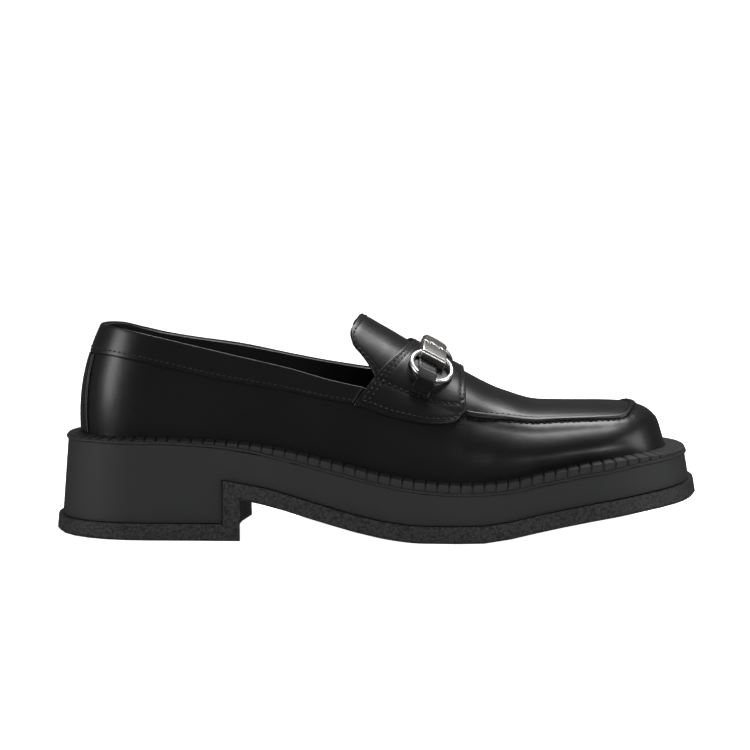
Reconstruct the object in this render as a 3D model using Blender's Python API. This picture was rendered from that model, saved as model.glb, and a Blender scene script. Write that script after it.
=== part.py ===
# Bit loafer, right shoe, toe towards +X, outer side towards -Y, standing on Z = 0.
# One last function gives every leather surface. The sole is laid out from the same
# last outline. All sizes are metres.

import math
from collections import namedtuple

import bmesh
import bpy
from mathutils import Vector

# Last and upper
LAST_LENGTH = 0.2778        # heel back to toe along the edge where upper meets welt
BALL_HALF_WIDTH = 0.0460    # half the last width at the ball
SEAT_HEIGHT = 0.0475        # floor to the edge of the upper at the heel
INSTEP_HEIGHT = 0.1000      # floor to the crest of the instep
COLLAR_HEIGHT = 0.0980      # floor to the collar at the heel back
UPPER_WALL = 0.0020         # leather with its lining
SIDE_BULGE = 0.0030         # most that the side swells past the edge
HEEL_ROUND = 0.0360         # length of the rounded heel end
TOE_ROUND = 0.0380          # length of the rounded toe end
TOE_FAN = 0.0040            # how far the crest runs on into the rounded toe
THROAT_START = 0.5120       # share of the last where the throat leaves the collar
THROAT_END = 0.5980         # share of the last where the throat meets the crest

# Sole
WELT_WIDTH = 0.0092         # ledge of the welt in front of the toe
WELT_BAND = 0.0052          # height of the welt band at the ball
WELT_SLOPE = 0.0010         # fall of the welt's top towards its edge
NOTCH_PITCH = 0.0055        # spacing of the notches round the welt
NOTCH_DEPTH = 0.0008
NOTCH_WIDTH = 0.0015
OUTSOLE_THICKNESS = 0.0079
OUTSOLE_LIP = 0.0021        # how far the outsole stands out below the side wall
LIP_CHAMFER = 0.0015
FLARE_AT_HEEL = 0.078       # outward slope of the side wall
FLARE_AT_TOE = 0.170
BREAST_FRONT = 0.2810       # share of the last at the front of the heel
BREAST_HOLLOW = 0.0050      # depth of the curve across the heel breast
HOLLOW_SPAN = 0.95          # share of the ball's half width over which it curves
ARCH_HEIGHT = 0.0190        # floor to the outsole just in front of the heel
TOE_SPRING = 0.0185         # floor to the outsole at the toe
TREAD_DEPTH = 0.0016
TREAD_WIDTH = 0.0030
TREAD_PITCH = 0.0110
TREAD_MARGIN = 0.0100       # plain border left round the tread
TREAD_REAR = 0.5060         # share of the last where the forefoot's tread starts

# Overlays
GAP = 0.0003                # clearance between pieces that touch
BAND_THICKNESS = 0.0010
BAND_HEIGHT = 0.0130        # collar band at the heel
STRIP_THICKNESS = 0.0010
STRIP_HALF_TURN = 0.052     # half width of the heel strip as a share of one side
BAND_END_MARGIN = 0.0040    # from the saddle to the last full station of the band
STRIP_NARROWING = 0.15      # share by which the heel strip narrows to its top
SADDLE_GAP = 0.00045        # from the vamp, over its tightest curve
SADDLE_THICKNESS = 0.0015
SADDLE_SPREAD = 1.15        # power that spaces the saddle's rows, closer at the crest
TONGUE_THICKNESS = 0.0020
TONGUE_CLEARANCE = 0.0025   # from the throat's edge, hidden by the saddle
TONGUE_SIDE_REAR = math.radians(50)     # turn of the tongue's side edge at the rear
INSOLE_THICKNESS = 0.0042
SEAM_WIDTH = 0.0030         # raised seam round the apron
SEAM_HEIGHT = 0.0009

# Bit and its tabs
RING_ALONG = 0.5955         # share of the last at the middle of the rings
RING_TURN = math.radians(61.3)
RING_RADIUS = 0.0099        # to the middle of the wire
WIRE_RADIUS = 0.0012
RING_CLEARANCE = 0.00045    # from the saddle at the ring's two sides
BIT_CLEARANCE = 0.0005      # from the saddle to the bars and the link
BIT_THICKNESS = 0.0044
BIT_BEVEL = 0.0009
BAR_LENGTH = 0.0112         # along the shoe
BAR_LOW_TURN = math.radians(64.5)
BAR_HIGH_TURN = math.radians(76.8)
LINK_WAIST = 0.78           # width of the link over the crest as a share of its ends
EYE_RADIUS = 0.0007         # holes where the link joins the bars
EYE_SPACING = 0.0038
TAB_WIDTH = 0.0082
TAB_THICKNESS = 0.0011
TAB_RAMP = 0.0036           # run over which the tab climbs over the ring
TAB_FOOT = 0.0026           # flat end of the tab, stitched to the saddle
TAB_OFFSET = 0.22           # share of its width by which the tab sits behind the ring's middle

# Mesh density
HEEL_STEPS = 7
SIDE_STEPS = 20
THROAT_STEPS = 6
TOE_STEPS = 9
WALL_ROWS = 8
WALL_SPREAD = 0.6           # how much the wall's rows close up towards the crest
BREAST_SPACING = 0.012      # share of the path kept clear beside the breast's stations
RING_STEPS = 18
WIRE_STEPS = 6
EYE_STEPS = 8

# One row for each section of the last, heel to toe. along is a share of LAST_LENGTH.
# lateral, medial and crest are shares of BALL_HALF_WIDTH, seat of SEAT_HEIGHT,
# ridge of INSTEP_HEIGHT, bulge of SIDE_BULGE, welt of WELT_WIDTH and band of WELT_BAND.
# square is the power that makes a section round (1) or boxy (below 1).
Section = namedtuple("Section", "along lateral medial crest seat ridge square bulge welt band")
SECTIONS = (
    Section(0.000, 0.72, 0.72, 0.00, 0.995, 1.27, 1.24, 0.30, 0.80, 0.42),
    Section(0.048, 0.73, 0.72, 0.00, 1.000, 1.27, 1.18, 0.30, 0.68, 0.40),
    Section(0.130, 0.74, 0.73, 0.00, 1.000, 1.25, 1.04, 0.30, 0.50, 0.40),
    Section(0.213, 0.75, 0.71, 0.00, 0.985, 1.22, 0.98, 0.35, 0.47, 0.45),
    Section(0.290, 0.77, 0.67, 0.01, 0.955, 1.18, 0.95, 0.40, 0.45, 0.68),
    Section(0.363, 0.80, 0.64, 0.03, 0.885, 1.14, 0.92, 0.45, 0.44, 0.92),
    Section(0.442, 0.85, 0.66, 0.05, 0.777, 1.080, 0.90, 0.50, 0.42, 1.00),
    Section(0.520, 0.90, 0.76, 0.07, 0.667, 0.965, 0.86, 0.70, 0.40, 1.00),
    Section(0.585, 0.94, 0.87, 0.07, 0.605, 0.858, 0.80, 0.85, 0.39, 1.00),
    Section(0.656, 0.965, 0.965, 0.06, 0.583, 0.750, 0.75, 0.90, 0.39, 1.00),
    Section(0.720, 0.96, 1.01, 0.05, 0.608, 0.662, 0.70, 0.90, 0.42, 1.00),
    Section(0.790, 0.94, 1.00, 0.04, 0.695, 0.611, 0.65, 0.85, 0.52, 1.00),
    Section(0.878, 0.91, 0.96, 0.03, 0.800, 0.608, 0.60, 0.50, 0.70, 1.00),
    Section(0.943, 0.88, 0.93, 0.02, 0.855, 0.612, 0.56, 0.10, 0.88, 0.75),
    Section(1.000, 0.88, 0.92, 0.02, 0.872, 0.620, 0.52, -0.30, 1.04, 0.52),
)

# The collar's edge: lateral and medial are shares of COLLAR_HEIGHT.
Collar = namedtuple("Collar", "along lateral medial")
COLLAR = (
    Collar(0.000, 1.000, 1.000),
    Collar(0.040, 0.998, 0.992),
    Collar(0.085, 0.984, 0.966),
    Collar(0.134, 0.958, 0.936),
    Collar(0.184, 0.926, 0.912),
    Collar(0.263, 0.875, 0.882),
    Collar(0.363, 0.811, 0.826),
    Collar(0.440, 0.752, 0.786),
    Collar(0.512, 0.717, 0.760),
)

# The underside of the outsole in front of the heel: arch is a share of ARCH_HEIGHT
# behind the ball, spring a share of TOE_SPRING in front of it.
Under = namedtuple("Under", "along arch spring")
UNDER = (
    Under(0.255, 1.06, 0.00),
    Under(0.281, 1.00, 0.00),
    Under(0.327, 0.86, 0.00),
    Under(0.413, 0.50, 0.00),
    Under(0.492, 0.19, 0.00),
    Under(0.540, 0.06, 0.00),
    Under(0.585, 0.00, 0.00),
    Under(0.670, 0.00, 0.00),
    Under(0.715, 0.00, 0.08),
    Under(0.790, 0.00, 0.34),
    Under(0.878, 0.00, 0.62),
    Under(0.943, 0.00, 0.83),
    Under(1.000, 0.00, 0.98),
    Under(1.050, 0.00, 1.08),
)

# Side outline of the saddle. across is 0 at the crest and 1 at the lower edge;
# rear and front are shares of LAST_LENGTH.
Saddle = namedtuple("Saddle", "along rear front")
SADDLE = (
    Saddle(0.00, 0.5660, 0.6530),
    Saddle(0.27, 0.5578, 0.6538),
    Saddle(0.50, 0.5434, 0.6550),
    Saddle(0.65, 0.5272, 0.6555),
    Saddle(0.80, 0.5050, 0.6560),
    Saddle(0.90, 0.4884, 0.6560),
    Saddle(1.00, 0.4700, 0.6560),
)
# Height of its lower edge, from the rear to the front, as a share of INSTEP_HEIGHT.
SaddleFoot = namedtuple("SaddleFoot", "along height")
SADDLE_FOOT = (
    SaddleFoot(0.00, 0.622),
    SaddleFoot(0.35, 0.572),
    SaddleFoot(0.75, 0.540),
    SaddleFoot(0.90, 0.548),
    SaddleFoot(1.00, 0.590),
)

# Collar band: drop is a share of BAND_HEIGHT.
BandRow = namedtuple("BandRow", "along drop")
BAND = (
    BandRow(0.00, 1.00),
    BandRow(0.20, 1.00),
    BandRow(0.36, 0.82),
    BandRow(0.50, 0.62),
)

# Tongue outline. along is 0 at the crest and 1 at the side edge; rear is a share of LAST_LENGTH.
TongueRow = namedtuple("TongueRow", "along rear")
TONGUE = (
    TongueRow(0.00, 0.4800),
    TongueRow(0.45, 0.4720),
    TongueRow(0.75, 0.4630),
    TongueRow(0.92, 0.4680),
    TongueRow(1.00, 0.4800),
)

# The apron seam: along is a share of one side's path, turn a share of a right angle.
SeamRow = namedtuple("SeamRow", "along turn")
SEAM = (
    SeamRow(0.640, 0.462),
    SeamRow(0.715, 0.551),
    SeamRow(0.796, 0.598),
    SeamRow(0.855, 0.600),
    SeamRow(0.880, 0.590),
    SeamRow(0.900, 0.615),
    SeamRow(0.925, 0.703),
    SeamRow(0.958, 0.778),
    SeamRow(1.000, 0.792),
)

HEEL_SHARE = 0.155          # share of one side's path that is the rounded heel
TOE_SHARE = 0.160           # share of one side's path that is the rounded toe
HEEL_POWER = 0.90
TOE_POWER = 0.86
BULGE_TOP = 0.62            # share of the rise over which the side swells
RIGHT_ANGLE = math.pi / 2

heel_overhang = (SECTIONS[0].welt * WELT_WIDTH + OUTSOLE_LIP
                 + FLARE_AT_HEEL * (SEAT_HEIGHT - SECTIONS[0].band * WELT_BAND - OUTSOLE_THICKNESS))
toe_overhang = (SECTIONS[-1].welt * WELT_WIDTH + OUTSOLE_LIP
                + FLARE_AT_TOE * (SECTIONS[-1].seat * SEAT_HEIGHT - SECTIONS[-1].band * WELT_BAND
                                  - TOE_SPRING - OUTSOLE_THICKNESS))
overall_length = LAST_LENGTH + heel_overhang + toe_overhang
last_back = heel_overhang - overall_length / 2
last_front = last_back + LAST_LENGTH


def clear_scene():
    for item in list(bpy.data.objects):
        bpy.data.objects.remove(item, do_unlink=True)


def read(table, column, along):
    """Smooth value of one column of a table at a share of the last's length."""
    rows = [row.along for row in table]
    values = [getattr(row, column) for row in table]
    along = min(max(along, rows[0]), rows[-1])
    k = 0
    while k < len(rows) - 2 and along > rows[k + 1]:
        k += 1

    def slope(i):
        if i == 0 or i == len(rows) - 1:
            return 0.0
        before = (values[i] - values[i - 1]) / (rows[i] - rows[i - 1])
        after = (values[i + 1] - values[i]) / (rows[i + 1] - rows[i])
        if before * after <= 0:
            return 0.0
        return 2 * before * after / (before + after)

    width = rows[k + 1] - rows[k]
    f = (along - rows[k]) / width
    return ((2 * f ** 3 - 3 * f ** 2 + 1) * values[k] + (f ** 3 - 2 * f ** 2 + f) * width * slope(k)
            + (-2 * f ** 3 + 3 * f ** 2) * values[k + 1] + (f ** 3 - f ** 2) * width * slope(k + 1))


def share_of(x):
    return (x - last_back) / LAST_LENGTH


def x_of(along):
    return last_back + along * LAST_LENGTH


def section(column, x):
    return read(SECTIONS, column, share_of(x))


def seat_height(x):
    return section("seat", x) * SEAT_HEIGHT


def ridge_height(x):
    return section("ridge", x) * INSTEP_HEIGHT


def welt_width(x):
    return section("welt", x) * WELT_WIDTH


def platform_height(x):
    """Top of the side wall, on which upper, insole and welt sit."""
    return seat_height(x) - WELT_SLOPE - section("band", x) * WELT_BAND


def under_height(x):
    """Underside of the outsole in front of the heel."""
    along = share_of(x)
    return read(UNDER, "arch", along) * ARCH_HEIGHT + read(UNDER, "spring", along) * TOE_SPRING


def split_side(path):
    """A path place runs 0 to 1 on the lateral side, heel to toe, then 1 to 2 back."""
    path = path % 2.0
    if path <= 1.0:
        return path, -1, "lateral"
    return 2.0 - path, 1, "medial"


def edge_point(path):
    """Point of the last's bottom edge, in plan."""
    step, side, column = split_side(path)
    heel_centre = last_back + HEEL_ROUND
    toe_centre = last_front - TOE_ROUND
    if step < HEEL_SHARE:
        turn = RIGHT_ANGLE * step / HEEL_SHARE
        x = heel_centre - HEEL_ROUND * math.cos(turn) ** HEEL_POWER
        width = math.sin(turn) ** HEEL_POWER
    elif step > 1 - TOE_SHARE:
        turn = RIGHT_ANGLE * (1 - step) / TOE_SHARE
        x = toe_centre + TOE_ROUND * max(math.cos(turn), 0) ** TOE_POWER
        width = max(math.sin(turn), 0) ** TOE_POWER
    else:
        f = (step - HEEL_SHARE) / (1 - TOE_SHARE - HEEL_SHARE)
        x = heel_centre + f * (toe_centre - heel_centre)
        width = 1.0
    return Vector((x, side * width * section(column, x) * BALL_HALF_WIDTH, 0))


def path_at(x, side):
    """Path place of the straight stretch of one side at a given x."""
    heel_centre = last_back + HEEL_ROUND
    toe_centre = last_front - TOE_ROUND
    step = HEEL_SHARE + (x - heel_centre) / (toe_centre - heel_centre) * (1 - TOE_SHARE - HEEL_SHARE)
    return step if side < 0 else 2.0 - step


def edge_normal(path):
    reach = 0.002
    run = edge_point(path + reach) - edge_point(path - reach)
    return Vector((run.y, -run.x, 0)).normalized()


def plan_point(path, out):
    """Point of the edge moved outwards in plan."""
    return edge_point(path) + edge_normal(path) * out


def crest_point(path):
    """The place on the crest towards which a rib runs."""
    edge = edge_point(path)
    toe_centre = last_front - TOE_ROUND
    x = max(edge.x, last_back + HEEL_ROUND)
    if x > toe_centre:
        x = toe_centre + (x - toe_centre) * TOE_FAN / TOE_ROUND
    return Vector((x, section("crest", x) * BALL_HALF_WIDTH, 0))


def last_point(path, turn):
    """The outer surface of the upper. turn is 0 at the edge and 90 degrees at the crest."""
    if turn > RIGHT_ANGLE:
        path = 2.0 - path % 2.0
        turn = math.pi - turn
    edge = edge_point(path)
    crest = crest_point(path)
    rise = math.sin(max(turn, 0))
    inward = 1 - max(math.cos(turn), 0) ** section("square", edge.x)
    swell = math.sin(math.pi * min(rise / BULGE_TOP, 1)) * section("bulge", edge.x) * SIDE_BULGE
    point = edge + (crest - edge) * inward + edge_normal(path) * swell
    foot = seat_height(edge.x)
    point.z = foot + (ridge_height(point.x) - foot) * rise
    return point


def last_normal(path, turn):
    reach = 0.004
    lean = 0.01
    if turn > RIGHT_ANGLE - lean / 10:
        x = crest_point(path).x
        rise = (ridge_height(x + LAST_LENGTH * reach) - ridge_height(x - LAST_LENGTH * reach))
        return Vector((-rise, 0, 2 * LAST_LENGTH * reach)).normalized()
    low = max(turn, 0.06)
    along = last_point(path + reach, low) - last_point(path - reach, low)
    across = last_point(path, low + lean) - last_point(path, low - lean)
    return along.cross(across).normalized()


def shell_point(path, turn, out):
    """The last's surface moved out (or in, if negative) by a thickness."""
    if turn <= 0:
        return plan_point(path, out) + Vector((0, 0, seat_height(edge_point(path).x)))
    return last_point(path, turn) + last_normal(path, turn) * out


def turn_at_height(path, height):
    """Turn at which a rib reaches a height."""
    x = edge_point(path).x
    foot = seat_height(x)
    rise = (height - foot) / (ridge_height(x) - foot)
    return math.asin(min(max(rise, 0), 1))


def collar_turn(path):
    """Turn at which the upper ends: the collar, the throat, or the crest."""
    step, side, column = split_side(path)
    along = share_of(edge_point(path).x)
    start = path_at(last_back + THROAT_START * LAST_LENGTH, side)
    low = turn_at_height(start, read(COLLAR, column, THROAT_START) * COLLAR_HEIGHT)
    if along >= THROAT_END:
        return RIGHT_ANGLE
    if along > THROAT_START:
        f = (along - THROAT_START) / (THROAT_END - THROAT_START)
        return low + (RIGHT_ANGLE - low) * f
    return turn_at_height(path, read(COLLAR, column, along) * COLLAR_HEIGHT)


def throat_x(turn, side):
    """The throat's x at a turn, the inverse of collar_turn between start and end."""
    column = "lateral" if side < 0 else "medial"
    start = path_at(last_back + THROAT_START * LAST_LENGTH, side)
    low = turn_at_height(start, read(COLLAR, column, THROAT_START) * COLLAR_HEIGHT)
    f = min(max((turn - low) / (RIGHT_ANGLE - low), 0), 1)
    return last_back + (THROAT_START + f * (THROAT_END - THROAT_START)) * LAST_LENGTH


def side_places():
    """Path places of one side, heel to toe."""
    throat = [path_at(x_of(along), -1) for along in (THROAT_START, THROAT_END)]
    stretches = (
        (0.0, HEEL_SHARE, HEEL_STEPS),
        (HEEL_SHARE, throat[0], SIDE_STEPS // 2),
        (throat[0], throat[1], THROAT_STEPS),
        (throat[1], 1 - TOE_SHARE, SIDE_STEPS // 3),
        (1 - TOE_SHARE, 1.0, TOE_STEPS),
    )
    places = []
    for start, end, steps in stretches:
        places += [start + (end - start) * k / steps for k in range(steps)]
    return places + [1.0]


def round_places():
    """Path places all round, both sides, each place once."""
    one = side_places()
    return one + [2.0 - place for place in reversed(one[1:-1])]


def make_material(name, colour, roughness, metallic=0.0):
    material = bpy.data.materials.new(name)
    material.use_nodes = True
    shader = material.node_tree.nodes["Principled BSDF"]
    shader.inputs["Base Color"].default_value = (*colour, 1)
    shader.inputs["Roughness"].default_value = roughness
    shader.inputs["Metallic"].default_value = metallic
    return material


def cutter_material():
    return make_material("cutter", (1, 0, 0), 0.5)


def add_object(name, bm, material, smooth=True, angle=35):
    bmesh.ops.remove_doubles(bm, verts=bm.verts, dist=0.000002)
    bmesh.ops.recalc_face_normals(bm, faces=bm.faces)
    mesh = bpy.data.meshes.new(name)
    bm.to_mesh(mesh)
    bm.free()
    if smooth:
        mesh.shade_smooth()
        mesh.set_sharp_from_angle(angle=math.radians(angle))
    item = bpy.data.objects.new(name, mesh)
    item.data.materials.append(material)
    bpy.context.scene.collection.objects.link(item)
    return item


def add_face(bm, corners):
    """A face from corners that may coincide at a pole or an end."""
    kept = []
    for vert in corners:
        if all((vert.co - other.co).length > 0.000002 for other in kept):
            kept.append(vert)
    if len(kept) > 2:
        bm.faces.new(kept)


def bridge_rings(bm, rings, closed):
    """Joins rings of points into a tube. A ring that shrinks to a line closes the tube."""
    loops = [[bm.verts.new(point) for point in ring] for ring in rings]
    count = len(loops[0])
    pairs = list(zip(loops, loops[1:]))
    if closed:
        pairs.append((loops[-1], loops[0]))
    for first, second in pairs:
        for k in range(count):
            m = (k + 1) % count
            add_face(bm, [first[k], first[m], second[m], second[k]])
    return loops


def cap_ring(bm, loop):
    add_face(bm, loop)


def hollowed(point, hollow):
    """A point of the breast, drawn back by the curve across it."""
    drawn = hollow * max(1 - (point.y / (HOLLOW_SPAN * BALL_HALF_WIDTH)) ** 2, 0)
    return Vector((point.x - drawn, point.y, point.z))


def across_points(lateral, medial, height, hollow, count=5, lift=None):
    """Points from the lateral to the medial side, drawn back in the middle by hollow.
    With a lift they lie that far over the underside instead of at one height."""
    points = []
    for k in range(count):
        f = k / (count - 1)
        point = hollowed(lateral.lerp(medial, f), hollow)
        point.z = height if lift is None else under_height(point.x) + lift
        points.append(point)
    return points


def flare_at(x, height):
    """How far the side wall stands out at a height."""
    f = min(max(share_of(x), 0), 1)
    rate = FLARE_AT_HEEL + (FLARE_AT_TOE - FLARE_AT_HEEL) * f
    return welt_width(x) + rate * max(platform_height(x) - height, 0)


def side_pair(x_place, height, extra=0.0):
    """Lateral and medial points of the side wall at a step of the path and a height."""
    out = flare_at(edge_point(x_place).x, height) + extra
    return plan_point(x_place, out), plan_point(2.0 - x_place, out)


def sole_places():
    """Path places of one side, with one at the back and one at the front of the breast."""
    front = path_at(last_back + BREAST_FRONT * LAST_LENGTH, -1)
    back = path_at(last_back + BREAST_FRONT * LAST_LENGTH - OUTSOLE_THICKNESS, -1)
    kept = [p for p in side_places() if abs(p - front) > BREAST_SPACING and abs(p - back) > BREAST_SPACING]
    return sorted(kept + [front, back]), back, front


def make_outsole(material):
    """Top lift, breast facing, shank and forefoot in one rubber piece of even thickness."""
    places, back, front = sole_places()
    bm = bmesh.new()
    rings = []

    def ring(place_low, low, place_high, high, hollow, follow=False):
        """Section with its chamfered lip: low is the tread side, high the wall side."""
        lip_low, lip_low_m = side_pair(place_low, low, OUTSOLE_LIP - LIP_CHAMFER)
        mid, mid_m = side_pair(place_low, low, OUTSOLE_LIP)
        top, top_m = side_pair(place_high, high, OUTSOLE_LIP)
        lift = (high - low) * LIP_CHAMFER / OUTSOLE_THICKNESS
        mid = mid.lerp(top, LIP_CHAMFER / OUTSOLE_THICKNESS)
        mid_m = mid_m.lerp(top_m, LIP_CHAMFER / OUTSOLE_THICKNESS)
        mid.z = mid_m.z = low + lift
        points = across_points(lip_low, lip_low_m, low, hollow, lift=0.0 if follow else None)
        points.append(mid_m)
        points += reversed(across_points(top, top_m, high, hollow,
                                         lift=OUTSOLE_THICKNESS if follow else None))
        points.append(mid)
        return points

    for place in places:
        if place < back:
            rings.append(ring(place, 0.0, place, OUTSOLE_THICKNESS, 0.0))
    rings.append(ring(front, 0.0, back, OUTSOLE_THICKNESS, BREAST_HOLLOW))
    front_x = edge_point(front).x
    back_x = edge_point(back).x
    rings.append(ring(front, under_height(front_x), back,
                      under_height(back_x) + OUTSOLE_THICKNESS, BREAST_HOLLOW, follow=True))
    for place in places:
        if place > front:
            low = under_height(edge_point(place).x)
            rings.append(ring(place, low, place, low + OUTSOLE_THICKNESS, 0.0))
    bridge_rings(bm, rings, False)
    outsole = add_object("outsole", bm, material, angle=30)
    cutter = make_tread_cutter(front_x)
    cut(outsole, cutter)
    return outsole


def make_tread_cutter(front_x):
    """Cross grooves under the forefoot and the heel, inside a plain border."""
    bm = bmesh.new()
    stretches = (
        (last_back + TREAD_MARGIN, front_x - OUTSOLE_THICKNESS - BREAST_HOLLOW, True),
        (x_of(TREAD_REAR), last_front - TREAD_MARGIN, False),
    )
    for start, end, is_heel in stretches:
        count = int((end - start) / TREAD_PITCH)
        first = start + (end - start - (count - 1) * TREAD_PITCH) / 2
        for k in range(count):
            x = first + k * TREAD_PITCH
            rings = []
            for edge_x in (x - TREAD_WIDTH / 2, x + TREAD_WIDTH / 2):
                floor = 0.0 if is_heel else under_height(edge_x)
                inset = sole_half_widths(edge_x)
                lateral = Vector((edge_x, -inset[0] + TREAD_MARGIN, 0))
                medial = Vector((edge_x, inset[1] - TREAD_MARGIN, 0))
                low = across_points(lateral, medial, floor - TREAD_DEPTH, 0, 2)
                high = across_points(lateral, medial, floor + TREAD_DEPTH, 0, 2)
                rings.append(low + list(reversed(high)))
            loops = bridge_rings(bm, rings, False)
            cap_ring(bm, loops[0])
            cap_ring(bm, list(reversed(loops[-1])))
    return hide_cutter(add_object("tread_cutter", bm, cutter_material(), smooth=False))


def sole_half_widths(x):
    """Half widths of the edge at x, found along the path of each side."""
    widths = []
    for side in (-1, 1):
        low, high = 0.0, 1.0
        for _ in range(30):
            middle = (low + high) / 2
            if edge_point(middle if side < 0 else 2.0 - middle).x < x:
                low = middle
            else:
                high = middle
        widths.append(abs(edge_point(low if side < 0 else 2.0 - low).y))
    return widths


def cut(item, cutter, operation="DIFFERENCE"):
    modifier = item.modifiers.new(cutter.name, "BOOLEAN")
    modifier.operation = operation
    modifier.solver = "EXACT"
    modifier.object = cutter


def make_midsole(material):
    """Smooth side wall with the heel block."""
    places, back, front = sole_places()
    bm = bmesh.new()
    rings = []
    back_x = edge_point(back).x

    def ring(place, low, knee, hollow, lift=None):
        x = edge_point(place).x
        top_height = platform_height(x)
        low_pair = side_pair(place, low)
        knee_pair = side_pair(place, knee)
        top_pair = side_pair(place, top_height)
        points = across_points(*low_pair, low, hollow, lift=lift)
        knee_points = across_points(*knee_pair, knee, hollow, count=2, lift=lift)
        points.append(knee_points[1])
        points += reversed(across_points(*top_pair, top_height, 0.0))
        points.append(knee_points[0])
        return points

    heel_low = OUTSOLE_THICKNESS + GAP
    knee_height = under_height(back_x) + OUTSOLE_THICKNESS + GAP
    shift = path_at(back_x - GAP, -1)
    for place in places:
        if place < back:
            rings.append(ring(place, heel_low, knee_height, 0.0))
    rings.append(ring(shift, heel_low, knee_height, BREAST_HOLLOW))
    rings.append(ring(shift, knee_height, knee_height, BREAST_HOLLOW, lift=OUTSOLE_THICKNESS + GAP))
    for place in places:
        if place > front:
            low = under_height(edge_point(place).x) + OUTSOLE_THICKNESS + GAP
            rings.append(ring(place, low, low + GAP, 0.0))
    bridge_rings(bm, rings, False)
    return add_object("midsole", bm, material, angle=30)


def make_welt(material):
    """Ring of rubber round the upper with a notch at every pitch."""
    steps = 400
    lengths = [0.0]
    for k in range(steps):
        run = plan_point(2.0 * (k + 1) / steps, WELT_WIDTH / 2) - plan_point(2.0 * k / steps, WELT_WIDTH / 2)
        lengths.append(lengths[-1] + run.length)
    count = round(lengths[-1] / NOTCH_PITCH)
    pitch = lengths[-1] / count

    def place_of(length):
        k = 0
        while k < steps - 1 and lengths[k + 1] < length:
            k += 1
        f = (length - lengths[k]) / (lengths[k + 1] - lengths[k])
        return 2.0 * (k + f) / steps

    bm = bmesh.new()
    rings = []
    for n in range(count):
        for offset, depth in ((0.0, 0.0), (pitch - NOTCH_WIDTH, 0.0), (pitch - NOTCH_WIDTH / 2, NOTCH_DEPTH)):
            place = place_of(n * pitch + offset)
            x = edge_point(place).x
            width = welt_width(x)
            top = seat_height(x)
            low = platform_height(x) + GAP
            inner = plan_point(place, GAP)
            outer = plan_point(place, width)
            notched = plan_point(place, width - depth)
            rings.append([
                inner + Vector((0, 0, low)),
                outer + Vector((0, 0, low)),
                notched + Vector((0, 0, top - WELT_SLOPE - depth)),
                inner + Vector((0, 0, top - depth)),
            ])
    bridge_rings(bm, rings, True)
    return add_object("welt", bm, material, smooth=False)


def make_upper(material):
    """Hollow upper: one wall from the platform to the collar, closed over the vamp."""
    bm = bmesh.new()
    places = round_places()
    columns = []
    for place in places:
        end = collar_turn(place)
        outer = []
        inner = []
        drop = Vector((0, 0, platform_height(edge_point(place).x) + GAP))
        outer.append(plan_point(place, 0) + drop)
        inner.append(plan_point(place, -UPPER_WALL) + drop)
        for k in range(WALL_ROWS + 1):
            r = k / WALL_ROWS
            turn = end * (1 - (1 - r) ** (1 + WALL_SPREAD * end / RIGHT_ANGLE))
            outer.append(shell_point(place, turn, 0))
            inner.append(shell_point(place, turn, -UPPER_WALL))
        is_open = end < RIGHT_ANGLE - 0.000001
        columns.append(([bm.verts.new(p) for p in outer], [bm.verts.new(p) for p in inner], is_open))
    for k, (outer, inner, is_open) in enumerate(columns):
        next_outer, next_inner, next_open = columns[(k + 1) % len(columns)]
        for j in range(len(outer) - 1):
            add_face(bm, [outer[j], next_outer[j], next_outer[j + 1], outer[j + 1]])
            add_face(bm, [inner[j + 1], next_inner[j + 1], next_inner[j], inner[j]])
        add_face(bm, [outer[0], inner[0], next_inner[0], next_outer[0]])
        if is_open or next_open:
            add_face(bm, [outer[-1], next_outer[-1], next_inner[-1], inner[-1]])
    return add_object("upper", bm, material)


def make_shell_patch(name, grid, low, high, material, angle=35):
    """A piece laid on the last: grid holds rows of (path, turn). low and high are how far
    its two faces stand out, as a number or as rows of numbers."""
    bm = bmesh.new()
    sheets = []
    for out in (low, high):
        sheet = []
        for i, row in enumerate(grid):
            sheet.append([bm.verts.new(shell_point(path, turn, out[i][j] if isinstance(out, list) else out))
                          for j, (path, turn) in enumerate(row)])
        sheets.append(sheet)
    bottom, top = sheets
    rows = len(grid)
    count = len(grid[0])
    for i in range(rows - 1):
        for j in range(count - 1):
            add_face(bm, [top[i][j], top[i][j + 1], top[i + 1][j + 1], top[i + 1][j]])
            add_face(bm, [bottom[i + 1][j], bottom[i + 1][j + 1], bottom[i][j + 1], bottom[i][j]])
    rim = [(0, j) for j in range(count - 1)] + [(i, count - 1) for i in range(rows - 1)]
    rim += [(rows - 1, j) for j in range(count - 1, 0, -1)] + [(i, 0) for i in range(rows - 1, 0, -1)]
    for k, (i, j) in enumerate(rim):
        m, n = rim[(k + 1) % len(rim)]
        add_face(bm, [top[m][n], top[i][j], bottom[i][j], bottom[m][n]])
    return add_object(name, bm, material, angle=angle)


def saddle_grid(steps=8, half=12):
    """Rows of the saddle from the lateral to the medial lower edge."""
    rows = []
    for i in range(-half, half + 1):
        side = -1 if i <= 0 else 1
        across = abs(i) / half
        row = []
        for j in range(steps + 1):
            f = j / steps
            x = x_of(read(SADDLE, "rear", across) * (1 - f) + read(SADDLE, "front", across) * f)
            path = path_at(x, side)
            foot = turn_at_height(path, read(SADDLE_FOOT, "height", f) * INSTEP_HEIGHT)
            row.append((path, RIGHT_ANGLE - (RIGHT_ANGLE - foot) * across ** SADDLE_SPREAD))
        rows.append(row)
    return rows


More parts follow.
